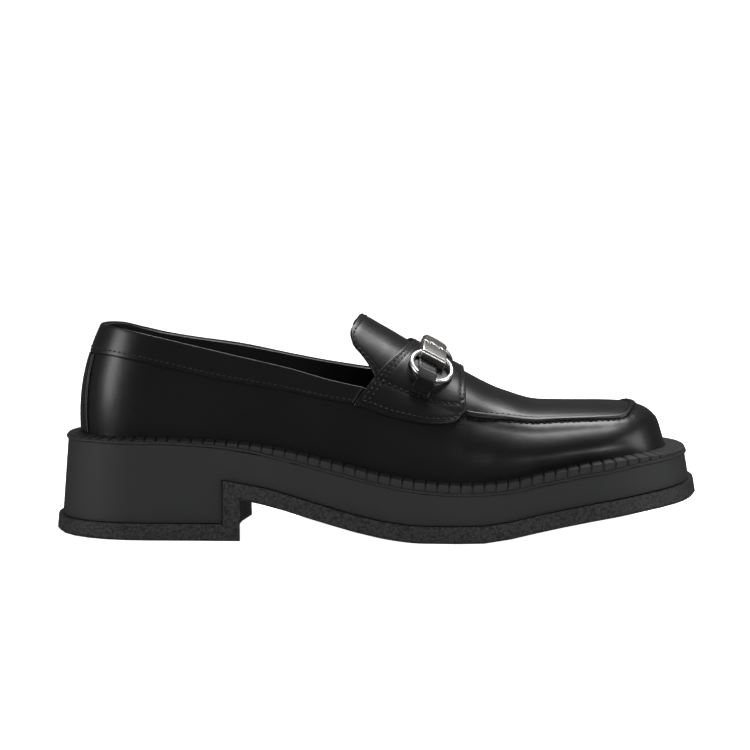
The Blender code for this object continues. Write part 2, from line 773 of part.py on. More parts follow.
def saddle_rear_x(turn, side):
    """The saddle's rear edge at a turn."""
    low, high = 0.0, 1.0
    for _ in range(30):
        across = (low + high) / 2
        path = path_at(x_of(read(SADDLE, "rear", across)), side)
        foot = turn_at_height(path, SADDLE_FOOT[0].height * INSTEP_HEIGHT)
        if RIGHT_ANGLE - (RIGHT_ANGLE - foot) * across ** SADDLE_SPREAD > turn:
            low = across
        else:
            high = across
    return x_of(read(SADDLE, "rear", low))


def make_saddle(material):
    return make_shell_patch("saddle", saddle_grid(), SADDLE_GAP, SADDLE_GAP + SADDLE_THICKNESS, material)


def band_low_turn(path, below=0.0):
    """Turn of the band's lower edge, or of a height below it."""
    step, side, column = split_side(path)
    along = share_of(edge_point(path).x)
    top = read(COLLAR, column, along) * COLLAR_HEIGHT
    return turn_at_height(path, top - read(BAND, "drop", along) * BAND_HEIGHT - below)


def make_collar_band(material):
    """Stitched band round the collar, from the saddle's rear edge round the heel and back."""
    rows_count = 2
    ends = {}
    for side in (-1, 1):
        path = path_at(x_of(SADDLE[-1].rear), side)
        ends[side] = [saddle_rear_x(t, side) - 2 * GAP
                      for t in (band_low_turn(path), collar_turn(path))]
    rear = [p for p in side_places() if edge_point(p).x < min(ends[-1][0], ends[1][0]) - BAND_END_MARGIN]
    rows = []
    for j in range(rows_count + 1):
        f = j / rows_count
        row = []
        lateral_end = path_at(ends[-1][0] + (ends[-1][1] - ends[-1][0]) * f, -1)
        medial_end = path_at(ends[1][0] + (ends[1][1] - ends[1][0]) * f, 1)
        places = [lateral_end] + list(reversed(rear)) + [2.0 - p for p in rear[1:]] + [medial_end]
        for place in places:
            low = band_low_turn(place)
            high = collar_turn(place)
            row.append((place, low + (high - low) * f))
        rows.append(row)
    return make_shell_patch("collar_band", rows, GAP, GAP + BAND_THICKNESS, material)


def make_back_strip(material):
    """Strip over the heel seam, from the welt to the collar band."""
    rows = []
    steps = 8
    for j in range(9):
        f = j / 8
        row = []
        for k in range(steps + 1):
            place = 2.0 + STRIP_HALF_TURN * (1 - 2 * k / steps) * (1 - STRIP_NARROWING * f)
            low = turn_at_height(place, seat_height(edge_point(place).x) + 2 * GAP)
            high = band_low_turn(place, 2 * GAP)
            row.append((place, low + (high - low) * f))
        rows.append(row)
    return make_shell_patch("back_strip", rows, GAP, GAP + STRIP_THICKNESS, material)


def make_tongue(material):
    """Tongue that continues the vamp behind the throat."""
    rows = []
    steps = 5
    half = 6
    for i in range(-half, half + 1):
        side = -1 if i <= 0 else 1
        across = abs(i) / half
        start = path_at(x_of(THROAT_START), side)
        rim = read(COLLAR, side_name(side), THROAT_START) * COLLAR_HEIGHT
        side_front = turn_at_height(start, rim + TONGUE_CLEARANCE)
        row = []
        for j in range(steps + 1):
            f = j / steps
            edge = TONGUE_SIDE_REAR + (side_front - TONGUE_SIDE_REAR) * f
            turn = RIGHT_ANGLE - (RIGHT_ANGLE - edge) * across
            rear = x_of(read(TONGUE, "rear", across))
            front = throat_x(turn, side) - TONGUE_CLEARANCE
            row.append((path_at(rear + (front - rear) * f, side), turn))
        rows.append(row)
    return make_shell_patch("tongue", rows, -TONGUE_THICKNESS, 0.0, material)


def make_apron_seam(material):
    """Raised seam round the apron, from the saddle's front edge round the toe and back."""
    start = path_at(x_of(SADDLE[-1].front) + 2 * GAP, -1)
    one = [start] + [p for p in side_places() if p > start + BREAST_SPACING / 2]
    places = one + [2.0 - p for p in reversed(one[:-1])]
    small = 0.001
    rows = []
    heights = []
    for place in places:
        turn = RIGHT_ANGLE * read(SEAM, "turn", split_side(place)[0])
        rate = (last_point(place, turn + small) - last_point(place, turn - small)).length / (2 * small)
        half = SEAM_WIDTH / 2 / rate
        rows.append([(place, turn - half), (place, turn), (place, turn + half)])
        heights.append([GAP + SEAM_HEIGHT / 2, GAP + SEAM_HEIGHT, GAP + SEAM_HEIGHT / 2])
    return make_shell_patch("apron_seam", rows, GAP, heights, material)


def saddle_top():
    return SADDLE_GAP + SADDLE_THICKNESS


def ring_frame(side):
    """Middle of a ring and its directions along the shoe, up the saddle and outwards."""
    path = path_at(x_of(RING_ALONG), side)
    out = last_normal(path, RING_TURN)
    along = (Vector((1, 0, 0)) - out * out.x).normalized()
    up = out.cross(along)
    if up.z < 0:
        up = -up
    middle = shell_point(path, RING_TURN, saddle_top() + RING_CLEARANCE + WIRE_RADIUS)
    return middle, along, up, out


def torus_rings(side, wire):
    """Rings of points round the wire, with the wire's radius."""
    middle, along, up, out = ring_frame(side)
    rings = []
    for k in range(RING_STEPS):
        angle = 2 * math.pi * k / RING_STEPS
        radial = along * math.cos(angle) + up * math.sin(angle)
        ring = []
        for j in range(WIRE_STEPS):
            spin = 2 * math.pi * (j + 0.5) / WIRE_STEPS
            ring.append(middle + radial * (RING_RADIUS + wire * math.cos(spin)) + out * wire * math.sin(spin))
        rings.append(ring)
    return rings


def side_name(side):
    return "lateral" if side < 0 else "medial"


def make_ring(side, material):
    bm = bmesh.new()
    bridge_rings(bm, torus_rings(side, WIRE_RADIUS), True)
    return add_object("bit_ring_" + side_name(side), bm, material, angle=80)


def make_ring_cutter(side):
    """The ring made thicker by the clearance, to bore the bar."""
    bm = bmesh.new()
    bridge_rings(bm, torus_rings(side, WIRE_RADIUS + GAP), True)
    return hide_cutter(add_object("ring_bore_" + side_name(side), bm, cutter_material()))


def hide_cutter(cutter):
    cutter.hide_render = True
    cutter.display_type = "WIRE"
    return cutter


def make_eye_cutter(side):
    """Two holes in the joint between a bar and the link."""
    bm = bmesh.new()
    for end in (-1, 1):
        path = path_at(x_of(RING_ALONG) + end * EYE_SPACING / 2, side)
        low = shell_point(path, BAR_HIGH_TURN, saddle_top())
        high = shell_point(path, BAR_HIGH_TURN, saddle_top() + BIT_CLEARANCE + 2 * BIT_THICKNESS)
        axis = (high - low).normalized()
        across = axis.cross(Vector((1, 0, 0))).normalized()
        other = axis.cross(across)
        rings = []
        for centre in (low, high):
            ring = []
            for k in range(EYE_STEPS):
                spin = 2 * math.pi * k / EYE_STEPS
                ring.append(centre + (across * math.cos(spin) + other * math.sin(spin)) * EYE_RADIUS)
            rings.append(ring)
        loops = bridge_rings(bm, rings, False)
        cap_ring(bm, loops[0])
        cap_ring(bm, list(reversed(loops[-1])))
    return hide_cutter(add_object("eye_bore_" + side_name(side), bm, cutter_material()))


def block_rows(turns, halves, side):
    """Grid and heights of a metal block with bevelled upper edges."""
    low = saddle_top() + BIT_CLEARANCE
    middle = x_of(RING_ALONG)
    grid = []
    heights = []
    last = len(turns) - 1
    for i, (turn, half) in enumerate(zip(turns, halves)):
        row = []
        height = []
        for j, x in enumerate((-half, -half + BIT_BEVEL, half - BIT_BEVEL, half)):
            row.append((path_at(middle + x, side), turn))
            edge = i in (0, last) or j in (0, 3)
            height.append(low + BIT_THICKNESS - (BIT_BEVEL if edge else 0))
        grid.append(row)
        heights.append(height)
    return grid, low, heights


def turn_step(turn, distance, side=-1):
    """Turn a distance further up the saddle's upper face, at the rings."""
    path = path_at(x_of(RING_ALONG), side)
    steps = 24
    small = 0.001
    for _ in range(steps):
        rate = (shell_point(path, turn + small, saddle_top())
                - shell_point(path, turn - small, saddle_top())).length / (2 * small)
        turn += distance / steps / rate
    return turn


def make_bar(side, material):
    """Bar on one side of the bit, bored for its ring and for the eyes of the link."""
    start = BAR_LOW_TURN
    end = turn_step(BAR_HIGH_TURN, -GAP / 2)
    turns = [start, turn_step(start, BIT_BEVEL), turn_step(end, -BIT_BEVEL), end]
    grid, low, heights = block_rows(turns, [BAR_LENGTH / 2] * 4, side)
    bar = make_shell_patch("bit_bar_" + side_name(side), grid, low, heights, material)
    cut(bar, make_ring_cutter(side))
    return bar


def make_link(material):
    """Middle of the bit, over the crest between the two bars."""
    start = turn_step(BAR_HIGH_TURN, GAP / 2)
    bevel = turn_step(start, BIT_BEVEL)
    turns = [start, bevel]
    steps = 4
    for k in range(1, steps):
        turns.append(bevel + (math.pi - 2 * bevel) * k / steps)
    turns += [math.pi - bevel, math.pi - start]
    halves = []
    for turn in turns:
        waist = math.sin(math.pi * (turn - start) / (math.pi - 2 * start))
        halves.append(BAR_LENGTH / 2 * (1 - (1 - LINK_WAIST) * waist))
    grid, low, heights = block_rows(turns, halves, -1)
    return make_shell_patch("bit_link", grid, low, heights, material)


def make_tab(side, material):
    """Leather tab sewn to the saddle, which holds the ring down at its lowest point."""
    middle, along, up, out = ring_frame(side)
    hump = 0.0
    for angle in range(-120, -59, 15):
        spin = math.radians(angle)
        wire = middle + (along * math.cos(spin) + up * math.sin(spin)) * RING_RADIUS
        path = path_at(x_of(RING_ALONG) + RING_RADIUS * math.cos(spin), side)
        turn = turn_step(RING_TURN, RING_RADIUS * math.sin(spin), side)
        over = (wire - shell_point(path, turn, saddle_top())).dot(last_normal(path, turn))
        hump = max(hump, over + WIRE_RADIUS + GAP)
    flat = WIRE_RADIUS + 3 * GAP
    arc = RING_RADIUS - math.sqrt(RING_RADIUS ** 2 - (TAB_WIDTH / 2) ** 2)
    run = [-RING_RADIUS + arc + flat + TAB_RAMP, -RING_RADIUS + arc + flat, -RING_RADIUS - flat,
           -RING_RADIUS - flat - TAB_RAMP, -RING_RADIUS - flat - TAB_RAMP - TAB_FOOT]
    turns = [turn_step(BAR_LOW_TURN, -2 * GAP, side)] + [turn_step(RING_TURN, step, side) for step in run]
    rises = (0.0, 0.15, 1.0, 1.0, 0.0, 0.0)
    leans = (0.04, 0.0, -0.04, -0.12, -0.30, -0.40)
    grid = []
    lows = []
    highs = []
    for turn, rise, lean in zip(turns, rises, leans):
        centre = x_of(RING_ALONG) + TAB_WIDTH * (lean - TAB_OFFSET)
        low = saddle_top() + GAP + rise * (hump - GAP)
        grid.append([(path_at(centre + TAB_WIDTH * (k / 3 - 0.5), side), turn) for k in range(4)])
        lows.append([low] * 4)
        highs.append([low + TAB_THICKNESS] * 4)
    return make_shell_patch("ring_tab_" + side_name(side), grid, lows, highs, material)


def make_bit(metal, leather):
    link = make_link(metal)
    for side in (-1, 1):
        make_ring(side, metal)
        bar = make_bar(side, metal)
        eyes = make_eye_cutter(side)
        cut(bar, eyes)
        cut(link, eyes)
        make_tab(side, leather)


def make_insole(material):
    """Insole inside the wall, on the platform."""
    bm = bmesh.new()
    rings = []
    inset = -(UPPER_WALL + GAP)
    for place in side_places():
        low = platform_height(edge_point(place).x) + GAP
        lateral = plan_point(place, inset)
        medial = plan_point(2.0 - place, inset)
        points = across_points(lateral, medial, low, 0, 2)
        points += reversed(across_points(lateral, medial, low + INSOLE_THICKNESS, 0, 2))
        rings.append(points)
    bridge_rings(bm, rings, False)
    return add_object("insole", bm, material, angle=30)


def build():
    clear_scene()
    leather = make_material("polished_leather", (0.012, 0.012, 0.013), 0.25)
    overlay = make_material("overlay_leather", (0.014, 0.014, 0.015), 0.28)
    lining = make_material("lining_leather", (0.02, 0.02, 0.02), 0.6)
    rubber = make_material("matte_rubber", (0.035, 0.036, 0.038), 0.7)
    metal = make_material("brushed_metal", (0.72, 0.71, 0.69), 0.25, metallic=1.0)
    make_outsole(rubber)
    make_midsole(rubber)
    make_welt(rubber)
    make_insole(lining)
    make_upper(leather)
    make_tongue(overlay)
    make_saddle(overlay)
    make_collar_band(overlay)
    make_back_strip(overlay)
    make_apron_seam(leather)
    make_bit(metal, overlay)


build()
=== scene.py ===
import math

import bmesh
import bpy
from mathutils import Matrix, Vector


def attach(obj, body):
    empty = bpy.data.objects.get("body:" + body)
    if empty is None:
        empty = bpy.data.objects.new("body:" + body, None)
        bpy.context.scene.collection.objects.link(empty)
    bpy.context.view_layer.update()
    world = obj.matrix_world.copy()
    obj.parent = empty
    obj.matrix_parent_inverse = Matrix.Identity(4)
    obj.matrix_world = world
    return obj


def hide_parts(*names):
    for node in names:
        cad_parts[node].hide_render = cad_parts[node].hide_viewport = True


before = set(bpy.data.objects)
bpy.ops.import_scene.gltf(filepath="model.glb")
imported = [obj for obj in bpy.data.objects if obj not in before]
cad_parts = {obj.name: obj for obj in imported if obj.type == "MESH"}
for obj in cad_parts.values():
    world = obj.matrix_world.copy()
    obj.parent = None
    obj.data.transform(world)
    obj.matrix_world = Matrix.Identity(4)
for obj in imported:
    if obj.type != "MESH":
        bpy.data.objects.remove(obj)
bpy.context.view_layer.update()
rightAngle = math.pi / 2

# camera at the photo's angle, and the soft boxes that the leather mirrors
cameraView = {"distance": 1.30, "height": 0.20, "azimuth": 1.0, "aimZ": 0.0735, "lens": 131.1}
softBoxes = {
    "above": {"place": (0.12, 0.30, 1.10), "aim": (0.03, 0, 0.06), "size": (0.8, 0.4), "power": 13},
    "front": {"place": (0.72, -1.05, 0.17), "aim": (0.06, 0, 0.05), "size": (0.7, 0.24),
              "power": 3.8},
    "left": {"place": (-1.10, -0.40, 0.45), "aim": (-0.1, 0, 0.06), "size": (0.40, 0.8),
             "power": 6.5},
    "right": {"place": (1.10, -0.20, 0.40), "aim": (0.1, 0, 0.05), "size": (0.45, 0.8), "power": 4},
}
roomLook = {
    "floorSize": 8.0, "floorTone": 0.92, "floorRoughness": 0.9, "backdropRadius": 7.5,
    "backdropTone": 0.9, "backdropRoughness": 0.5, "glow": 1.0, "worldStrength": 0.07,
}


def addCamera(view):
    angle = math.radians(view["azimuth"])
    target = Vector((0.0, 0.0, view["aimZ"]))
    eye = Vector((view["distance"] * math.sin(angle), -view["distance"] * math.cos(angle),
                  view["height"]))
    data = bpy.data.cameras.new("camera")
    data.lens = view["lens"]
    data.sensor_width = 36.0
    data.clip_start = 0.05
    data.clip_end = 30.0
    camera = bpy.data.objects.new("camera", data)
    bpy.context.scene.collection.objects.link(camera)
    camera.location = eye
    camera.rotation_euler = (target - eye).to_track_quat("-Z", "Y").to_euler()
    bpy.context.scene.camera = camera


def addSoftBox(name, box):
    data = bpy.data.lights.new("soft box " + name, "AREA")
    data.shape = "RECTANGLE"
    data.size, data.size_y = box["size"]
    data.energy = box["power"]
    light = bpy.data.objects.new("soft box " + name, data)
    bpy.context.scene.collection.objects.link(light)
    light.location = box["place"]
    aim = Vector(box["aim"]) - Vector(box["place"])
    light.rotation_euler = aim.to_track_quat("-Z", "Y").to_euler()


def addPalePiece(name, bm, tone, roughness):
    mesh = bpy.data.meshes.new(name)
    bm.to_mesh(mesh)
    bm.free()
    piece = bpy.data.objects.new(name, mesh)
    bpy.context.scene.collection.objects.link(piece)
    piece.visible_glossy = False  # the polished leather mirrors the soft boxes alone
    material = bpy.data.materials.new("pale " + name)
    material.use_nodes = True
    shader = material.node_tree.nodes["Principled BSDF"]
    shader.inputs["Base Color"].default_value = (tone, tone, tone, 1)
    shader.inputs["Roughness"].default_value = roughness
    shader.inputs["Emission Color"].default_value = (1, 1, 1, 1)
    shader.inputs["Emission Strength"].default_value = roomLook["glow"]
    mesh.materials.append(material)
    return piece


def addRoom():
    bm = bmesh.new()
    bmesh.ops.create_grid(bm, x_segments=1, y_segments=1, size=roomLook["floorSize"])
    floor = addPalePiece("floor", bm, roomLook["floorTone"], roomLook["floorRoughness"])
    bm = bmesh.new()
    bmesh.ops.create_uvsphere(bm, u_segments=48, v_segments=24, radius=roomLook["backdropRadius"])
    backdrop = addPalePiece("backdrop", bm, roomLook["backdropTone"], roomLook["backdropRoughness"])
    backdrop.visible_diffuse = False
    backdrop.visible_shadow = False
    world = bpy.data.worlds.new("studio")
    world.use_nodes = True
    background = world.node_tree.nodes["Background"]
    background.inputs["Color"].default_value = (1, 1, 1, 1)
    background.inputs["Strength"].default_value = roomLook["worldStrength"]
    bpy.context.scene.world = world


addCamera(cameraView)
for boxName, box in softBoxes.items():
    addSoftBox(boxName, box)
addRoom()
bpy.context.scene.view_settings.view_transform = "Standard"
print("camera, lights and floor placed")

# the last: the same function and sizes as the CAD
last = {
    "length": 0.2778, "halfWidth": 0.0460, "seat": 0.0475, "instep": 0.1000, "collar": 0.0980,
    "wall": 0.0020, "bulge": 0.0030, "heelRound": 0.0360, "toeRound": 0.0380, "toeFan": 0.0040,
    "throatStart": 0.5120, "throatEnd": 0.5980, "heelShare": 0.155, "toeShare": 0.160,
    "heelPower": 0.90, "toePower": 0.86, "bulgeTop": 0.62, "back": -0.1395916, "gap": 0.0003,
    "weltWidth": 0.0092, "weltBand": 0.0052, "weltSlope": 0.0010,
}
sectionColumns = ("along", "lateral", "medial", "crest", "seat", "ridge", "square", "bulge",
                  "welt", "band")
sectionTable = (
    (0.000, 0.72, 0.72, 0.00, 0.995, 1.27, 1.24, 0.30, 0.80, 0.42),
    (0.048, 0.73, 0.72, 0.00, 1.000, 1.27, 1.18, 0.30, 0.68, 0.40),
    (0.130, 0.74, 0.73, 0.00, 1.000, 1.25, 1.04, 0.30, 0.50, 0.40),
    (0.213, 0.75, 0.71, 0.00, 0.985, 1.22, 0.98, 0.35, 0.47, 0.45),
    (0.290, 0.77, 0.67, 0.01, 0.955, 1.18, 0.95, 0.40, 0.45, 0.68),
    (0.363, 0.80, 0.64, 0.03, 0.885, 1.14, 0.92, 0.45, 0.44, 0.92),
    (0.442, 0.85, 0.66, 0.05, 0.777, 1.080, 0.90, 0.50, 0.42, 1.00),
    (0.520, 0.90, 0.76, 0.07, 0.667, 0.965, 0.86, 0.70, 0.40, 1.00),
    (0.585, 0.94, 0.87, 0.07, 0.605, 0.858, 0.80, 0.85, 0.39, 1.00),
    (0.656, 0.965, 0.965, 0.06, 0.583, 0.750, 0.75, 0.90, 0.39, 1.00),
    (0.720, 0.96, 1.01, 0.05, 0.608, 0.662, 0.70, 0.90, 0.42, 1.00),
    (0.790, 0.94, 1.00, 0.04, 0.695, 0.611, 0.65, 0.85, 0.52, 1.00),
    (0.878, 0.91, 0.96, 0.03, 0.800, 0.608, 0.60, 0.50, 0.70, 1.00),
    (0.943, 0.88, 0.93, 0.02, 0.855, 0.612, 0.56, 0.10, 0.88, 0.75),
    (1.000, 0.88, 0.92, 0.02, 0.872, 0.620, 0.52, -0.30, 1.04, 0.52),
)
collarColumns = ("along", "lateral", "medial")
collarTable = (
    (0.000, 1.000, 1.000), (0.040, 0.998, 0.992), (0.085, 0.984, 0.966), (0.134, 0.958, 0.936),
    (0.184, 0.926, 0.912), (0.263, 0.875, 0.882), (0.363, 0.811, 0.826), (0.440, 0.752, 0.786),
    (0.512, 0.717, 0.760),
)
curveSteps = 800  # even steps that each curve is sampled in


def sampleColumn(rows, column):
    # one column as even samples of a smooth curve through the rows
    places = [row[0] for row in rows]
    values = [row[column] for row in rows]

    def slope(i):
        if i in (0, len(places) - 1):
            return 0.0
        before = (values[i] - values[i - 1]) / (places[i] - places[i - 1])
        after = (values[i + 1] - values[i]) / (places[i + 1] - places[i])
        return 0.0 if before * after <= 0 else 2 * before * after / (before + after)

    samples = []
    for n in range(curveSteps + 1):
        at = places[0] + (places[-1] - places[0]) * n / curveSteps
        k = 0
        while k < len(places) - 2 and at > places[k + 1]:
            k += 1
        width = places[k + 1] - places[k]
        f = (at - places[k]) / width
        samples.append((2 * f ** 3 - 3 * f ** 2 + 1) * values[k]
                       + (f ** 3 - 2 * f ** 2 + f) * width * slope(k)
                       + (-2 * f ** 3 + 3 * f ** 2) * values[k + 1]
                       + (f ** 3 - f ** 2) * width * slope(k + 1))
    return places[0], places[-1], samples


def curveReader(rows, columns):
    sampled = {name: sampleColumn(rows, i) for i, name in enumerate(columns) if i}

    def readCurve(name, at):
        low, high, samples = sampled[name]
        spot = min(max((at - low) / (high - low), 0.0), 1.0) * curveSteps
        k = min(int(spot), curveSteps - 1)
        return samples[k] + (samples[k + 1] - samples[k]) * (spot - k)

    return readCurve


readSection = curveReader(sectionTable, sectionColumns)
readCollar = curveReader(collarTable, collarColumns)
heelCentre = last["back"] + last["heelRound"]
toeCentre = last["back"] + last["length"] - last["toeRound"]
# small steps on the last that slopes and normals are taken over
probe = {"edge": 0.002, "path": 0.004, "turn": 0.01, "rate": 0.001, "crestTurn": 0.001,
         "crestReach": 0.004, "lowTurn": 0.06}


def shareOf(x):
    return (x - last["back"]) / last["length"]


def xOf(along):
    return last["back"] + along * last["length"]


def seatHeight(x):
    return readSection("seat", shareOf(x)) * last["seat"]


def ridgeHeight(x):
    return readSection("ridge", shareOf(x)) * last["instep"]


def splitSide(path):
    path = path % 2.0
    return (path, -1, "lateral") if path <= 1.0 else (2.0 - path, 1, "medial")


def edgePoint(path):
    step, side, column = splitSide(path)
    if step < last["heelShare"]:
        turn = rightAngle * step / last["heelShare"]
        x = heelCentre - last["heelRound"] * math.cos(turn) ** last["heelPower"]
        width = math.sin(turn) ** last["heelPower"]
    elif step > 1 - last["toeShare"]:
        turn = rightAngle * (1 - step) / last["toeShare"]
        x = toeCentre + last["toeRound"] * max(math.cos(turn), 0) ** last["toePower"]
        width = max(math.sin(turn), 0) ** last["toePower"]
    else:
        f = (step - last["heelShare"]) / (1 - last["toeShare"] - last["heelShare"])
        x = heelCentre + f * (toeCentre - heelCentre)
        width = 1.0
    return Vector((x, side * width * readSection(column, shareOf(x)) * last["halfWidth"], 0))


def pathAt(x, side):
    f = (x - heelCentre) / (toeCentre - heelCentre)
    step = last["heelShare"] + f * (1 - last["toeShare"] - last["heelShare"])
    return step if side < 0 else 2.0 - step


def edgeNormal(path):
    run = edgePoint(path + probe["edge"]) - edgePoint(path - probe["edge"])
    return Vector((run.y, -run.x, 0)).normalized()


def planPoint(path, out):
    return edgePoint(path) + edgeNormal(path) * out


def crestPoint(path):
    x = max(edgePoint(path).x, heelCentre)
    if x > toeCentre:
        x = toeCentre + (x - toeCentre) * last["toeFan"] / last["toeRound"]
    return Vector((x, readSection("crest", shareOf(x)) * last["halfWidth"], 0))


def lastPoint(path, turn):
    if turn > rightAngle:
        path = 2.0 - path % 2.0
        turn = math.pi - turn
    edge = edgePoint(path)
    crest = crestPoint(path)
    along = shareOf(edge.x)
    rise = math.sin(max(turn, 0))
    inward = 1 - max(math.cos(turn), 0) ** readSection("square", along)
    swell = math.sin(math.pi * min(rise / last["bulgeTop"], 1))
    swell = swell * readSection("bulge", along) * last["bulge"]
    point = edge + (crest - edge) * inward + edgeNormal(path) * swell
    foot = seatHeight(edge.x)
    point.z = foot + (ridgeHeight(point.x) - foot) * rise
    return point


def lastNormal(path, turn):
    if turn > rightAngle - probe["crestTurn"]:
        x = crestPoint(path).x
        reach = last["length"] * probe["crestReach"]
        return Vector((ridgeHeight(x - reach) - ridgeHeight(x + reach), 0, 2 * reach)).normalized()
    low = max(turn, probe["lowTurn"])
    run = lastPoint(path + probe["path"], low) - lastPoint(path - probe["path"], low)
    across = lastPoint(path, low + probe["turn"]) - lastPoint(path, low - probe["turn"])
    return run.cross(across).normalized()


def shellPoint(path, turn, out):
    if turn <= 0:
        return planPoint(path, out) + Vector((0, 0, seatHeight(edgePoint(path).x)))
    return lastPoint(path, turn) + lastNormal(path, turn) * out


def turnAtHeight(path, height):
    x = edgePoint(path).x
    foot = seatHeight(x)
    return math.asin(min(max((height - foot) / (ridgeHeight(x) - foot), 0), 1))


def throatLow(side):
    column = "lateral" if side < 0 else "medial"
    return turnAtHeight(pathAt(xOf(last["throatStart"]), side),
                        readCollar(column, last["throatStart"]) * last["collar"])


throatTurns = {side: throatLow(side) for side in (-1, 1)}


def collarTurn(path):
    side, column = splitSide(path)[1:]
    along = shareOf(edgePoint(path).x)
    if along >= last["throatEnd"]:
        return rightAngle
    if along > last["throatStart"]:
        f = (along - last["throatStart"]) / (last["throatEnd"] - last["throatStart"])
        return throatTurns[side] + (rightAngle - throatTurns[side]) * f
    return turnAtHeight(path, readCollar(column, along) * last["collar"])


def throatX(turn, side):
    f = min(max((turn - throatTurns[side]) / (rightAngle - throatTurns[side]), 0), 1)
    return xOf(last["throatStart"] + f * (last["throatEnd"] - last["throatStart"]))


def platformHeight(x):
    # the shelf of the sole that the upper and the sock stand on
    return seatHeight(x) - last["weltSlope"] - readSection("band", shareOf(x)) * last["weltBand"]


print("last ready")


# materials: each surface is a node group that puts out colour, roughness and normal
def addGroup(name):
    group = bpy.data.node_groups.new(name, "ShaderNodeTree")
    for outName, kind in (("Color", "NodeSocketColor"), ("Roughness", "NodeSocketFloat"),
                          ("Normal", "NodeSocketVector")):
        group.interface.new_socket(name=outName, in_out="OUTPUT", socket_type=kind)
    coords = group.nodes.new("ShaderNodeTexCoord").outputs["Object"]
    return group, group.nodes, group.links, coords


def addOutputs(nodes, links, colour, roughness, normal):
    out = nodes.new("NodeGroupOutput")
    links.new(colour, out.inputs["Color"])
    links.new(roughness, out.inputs["Roughness"])
    links.new(normal, out.inputs["Normal"])


def addNoise(nodes, links, coords, scale, detail, roughness=0.5):
    noiseNode = nodes.new("ShaderNodeTexNoise")
    noiseNode.inputs["Scale"].default_value = scale
    noiseNode.inputs["Detail"].default_value = detail
    noiseNode.inputs["Roughness"].default_value = roughness
    links.new(coords, noiseNode.inputs["Vector"])
    return noiseNode.outputs["Fac"]


def addCells(nodes, links, coords, scale, feature="F1"):
    cells = nodes.new("ShaderNodeTexVoronoi")
    cells.feature = feature
    cells.inputs["Scale"].default_value = scale
    links.new(coords, cells.inputs["Vector"])
    return cells.outputs["Distance"]


def addRange(nodes, links, value, low, high, fromLow=0.0, fromHigh=1.0):
    rangeNode = nodes.new("ShaderNodeMapRange")
    rangeNode.inputs["From Min"].default_value = fromLow
    rangeNode.inputs["From Max"].default_value = fromHigh
    rangeNode.inputs["To Min"].default_value = low
    rangeNode.inputs["To Max"].default_value = high
    links.new(value, rangeNode.inputs["Value"])
    return rangeNode.outputs["Result"]


def addSum(nodes, links, first, second):
    sumNode = nodes.new("ShaderNodeMath")
    sumNode.operation = "ADD"
    links.new(first, sumNode.inputs[0])
    links.new(second, sumNode.inputs[1])
    return sumNode.outputs[0]


def addMixedColour(nodes, links, factor, look):
    mix = nodes.new("ShaderNodeMix")
    mix.data_type = "RGBA"
    mix.inputs["A"].default_value = (*look["dark"], 1)
    mix.inputs["B"].default_value = (*look["light"], 1)
    links.new(factor, mix.inputs["Factor"])
    return mix.outputs["Result"]


def addBump(nodes, links, height, distance, under=None):
    bump = nodes.new("ShaderNodeBump")
    bump.inputs["Strength"].default_value = 1.0
    bump.inputs["Distance"].default_value = distance
    links.new(height, bump.inputs["Height"])
    if under is not None:
        links.new(under, bump.inputs["Normal"])
    return bump.outputs["Normal"]


def makeLeatherSurface(name, look):
    group, nodes, links, coords = addGroup(name)
    pores = addCells(nodes, links, coords, look["poreScale"])
    grain = addNoise(nodes, links, coords, look["grainScale"], detail=4.0)
    pull = addNoise(nodes, links, coords, scale=45.0, detail=2.0)
    cloud = addNoise(nodes, links, coords, scale=22.0, detail=3.0)
    height = addSum(nodes, links, addRange(nodes, links, pores, low=0.0, high=0.5),
                    addRange(nodes, links, grain, low=0.0, high=0.8))
    roughness = addSum(nodes, links, addRange(nodes, links, cloud, low=-0.04, high=0.05),
                       addRange(nodes, links, grain, *look["roughness"]))
    fine = addBump(nodes, links, height, look["grainDepth"])
    soft = addBump(nodes, links, pull, look["pullDepth"], under=fine)
    addOutputs(nodes, links, addMixedColour(nodes, links, cloud, look), roughness, soft)
    return group


def makeRubberSurface(name, look):
    group, nodes, links, coords = addGroup(name)
    grit = addNoise(nodes, links, coords, look["gritScale"], detail=3.0, roughness=0.6)
    cloud = addNoise(nodes, links, coords, scale=30.0, detail=4.0)
    height = addRange(nodes, links, grit, low=0.0, high=0.5)
    tone = cloud
    if look["pebbleScale"]:  # raised pebbles, paler on top and darker between them: painted highlight and painted shade
        pebbles = addCells(nodes, links, coords, look["pebbleScale"], "SMOOTH_F1")
        dome = addRange(nodes, links, pebbles, low=1.0, high=0.0, fromLow=0.1, fromHigh=0.65)
        height = addSum(nodes, links, height, dome)
        # the pebbles' height also mixes the colour: painted highlight on their tops, painted shade in
        # the valleys between them
        tone = dome
    roughness = addRange(nodes, links, cloud, *look["roughness"])
    normal = addBump(nodes, links, height, look["depth"])
    addOutputs(nodes, links, addMixedColour(nodes, links, tone, look), roughness, normal)
    return group


def makeMetalSurface(name, look):
    group, nodes, links, coords = addGroup(name)
    stretch = nodes.new("ShaderNodeMapping")
    stretch.inputs["Scale"].default_value = look["brush"]
    links.new(coords, stretch.inputs["Vector"])
    brushed = addNoise(nodes, links, stretch.outputs["Vector"], scale=1.0, detail=5.0, roughness=0.7)
    tarnish = addNoise(nodes, links, coords, scale=260.0, detail=3.0)
    roughness = addRange(nodes, links, brushed, *look["roughness"])
    normal = addBump(nodes, links, brushed, look["depth"])
    addOutputs(nodes, links, addMixedColour(nodes, links, tarnish, look), roughness, normal)
    return group


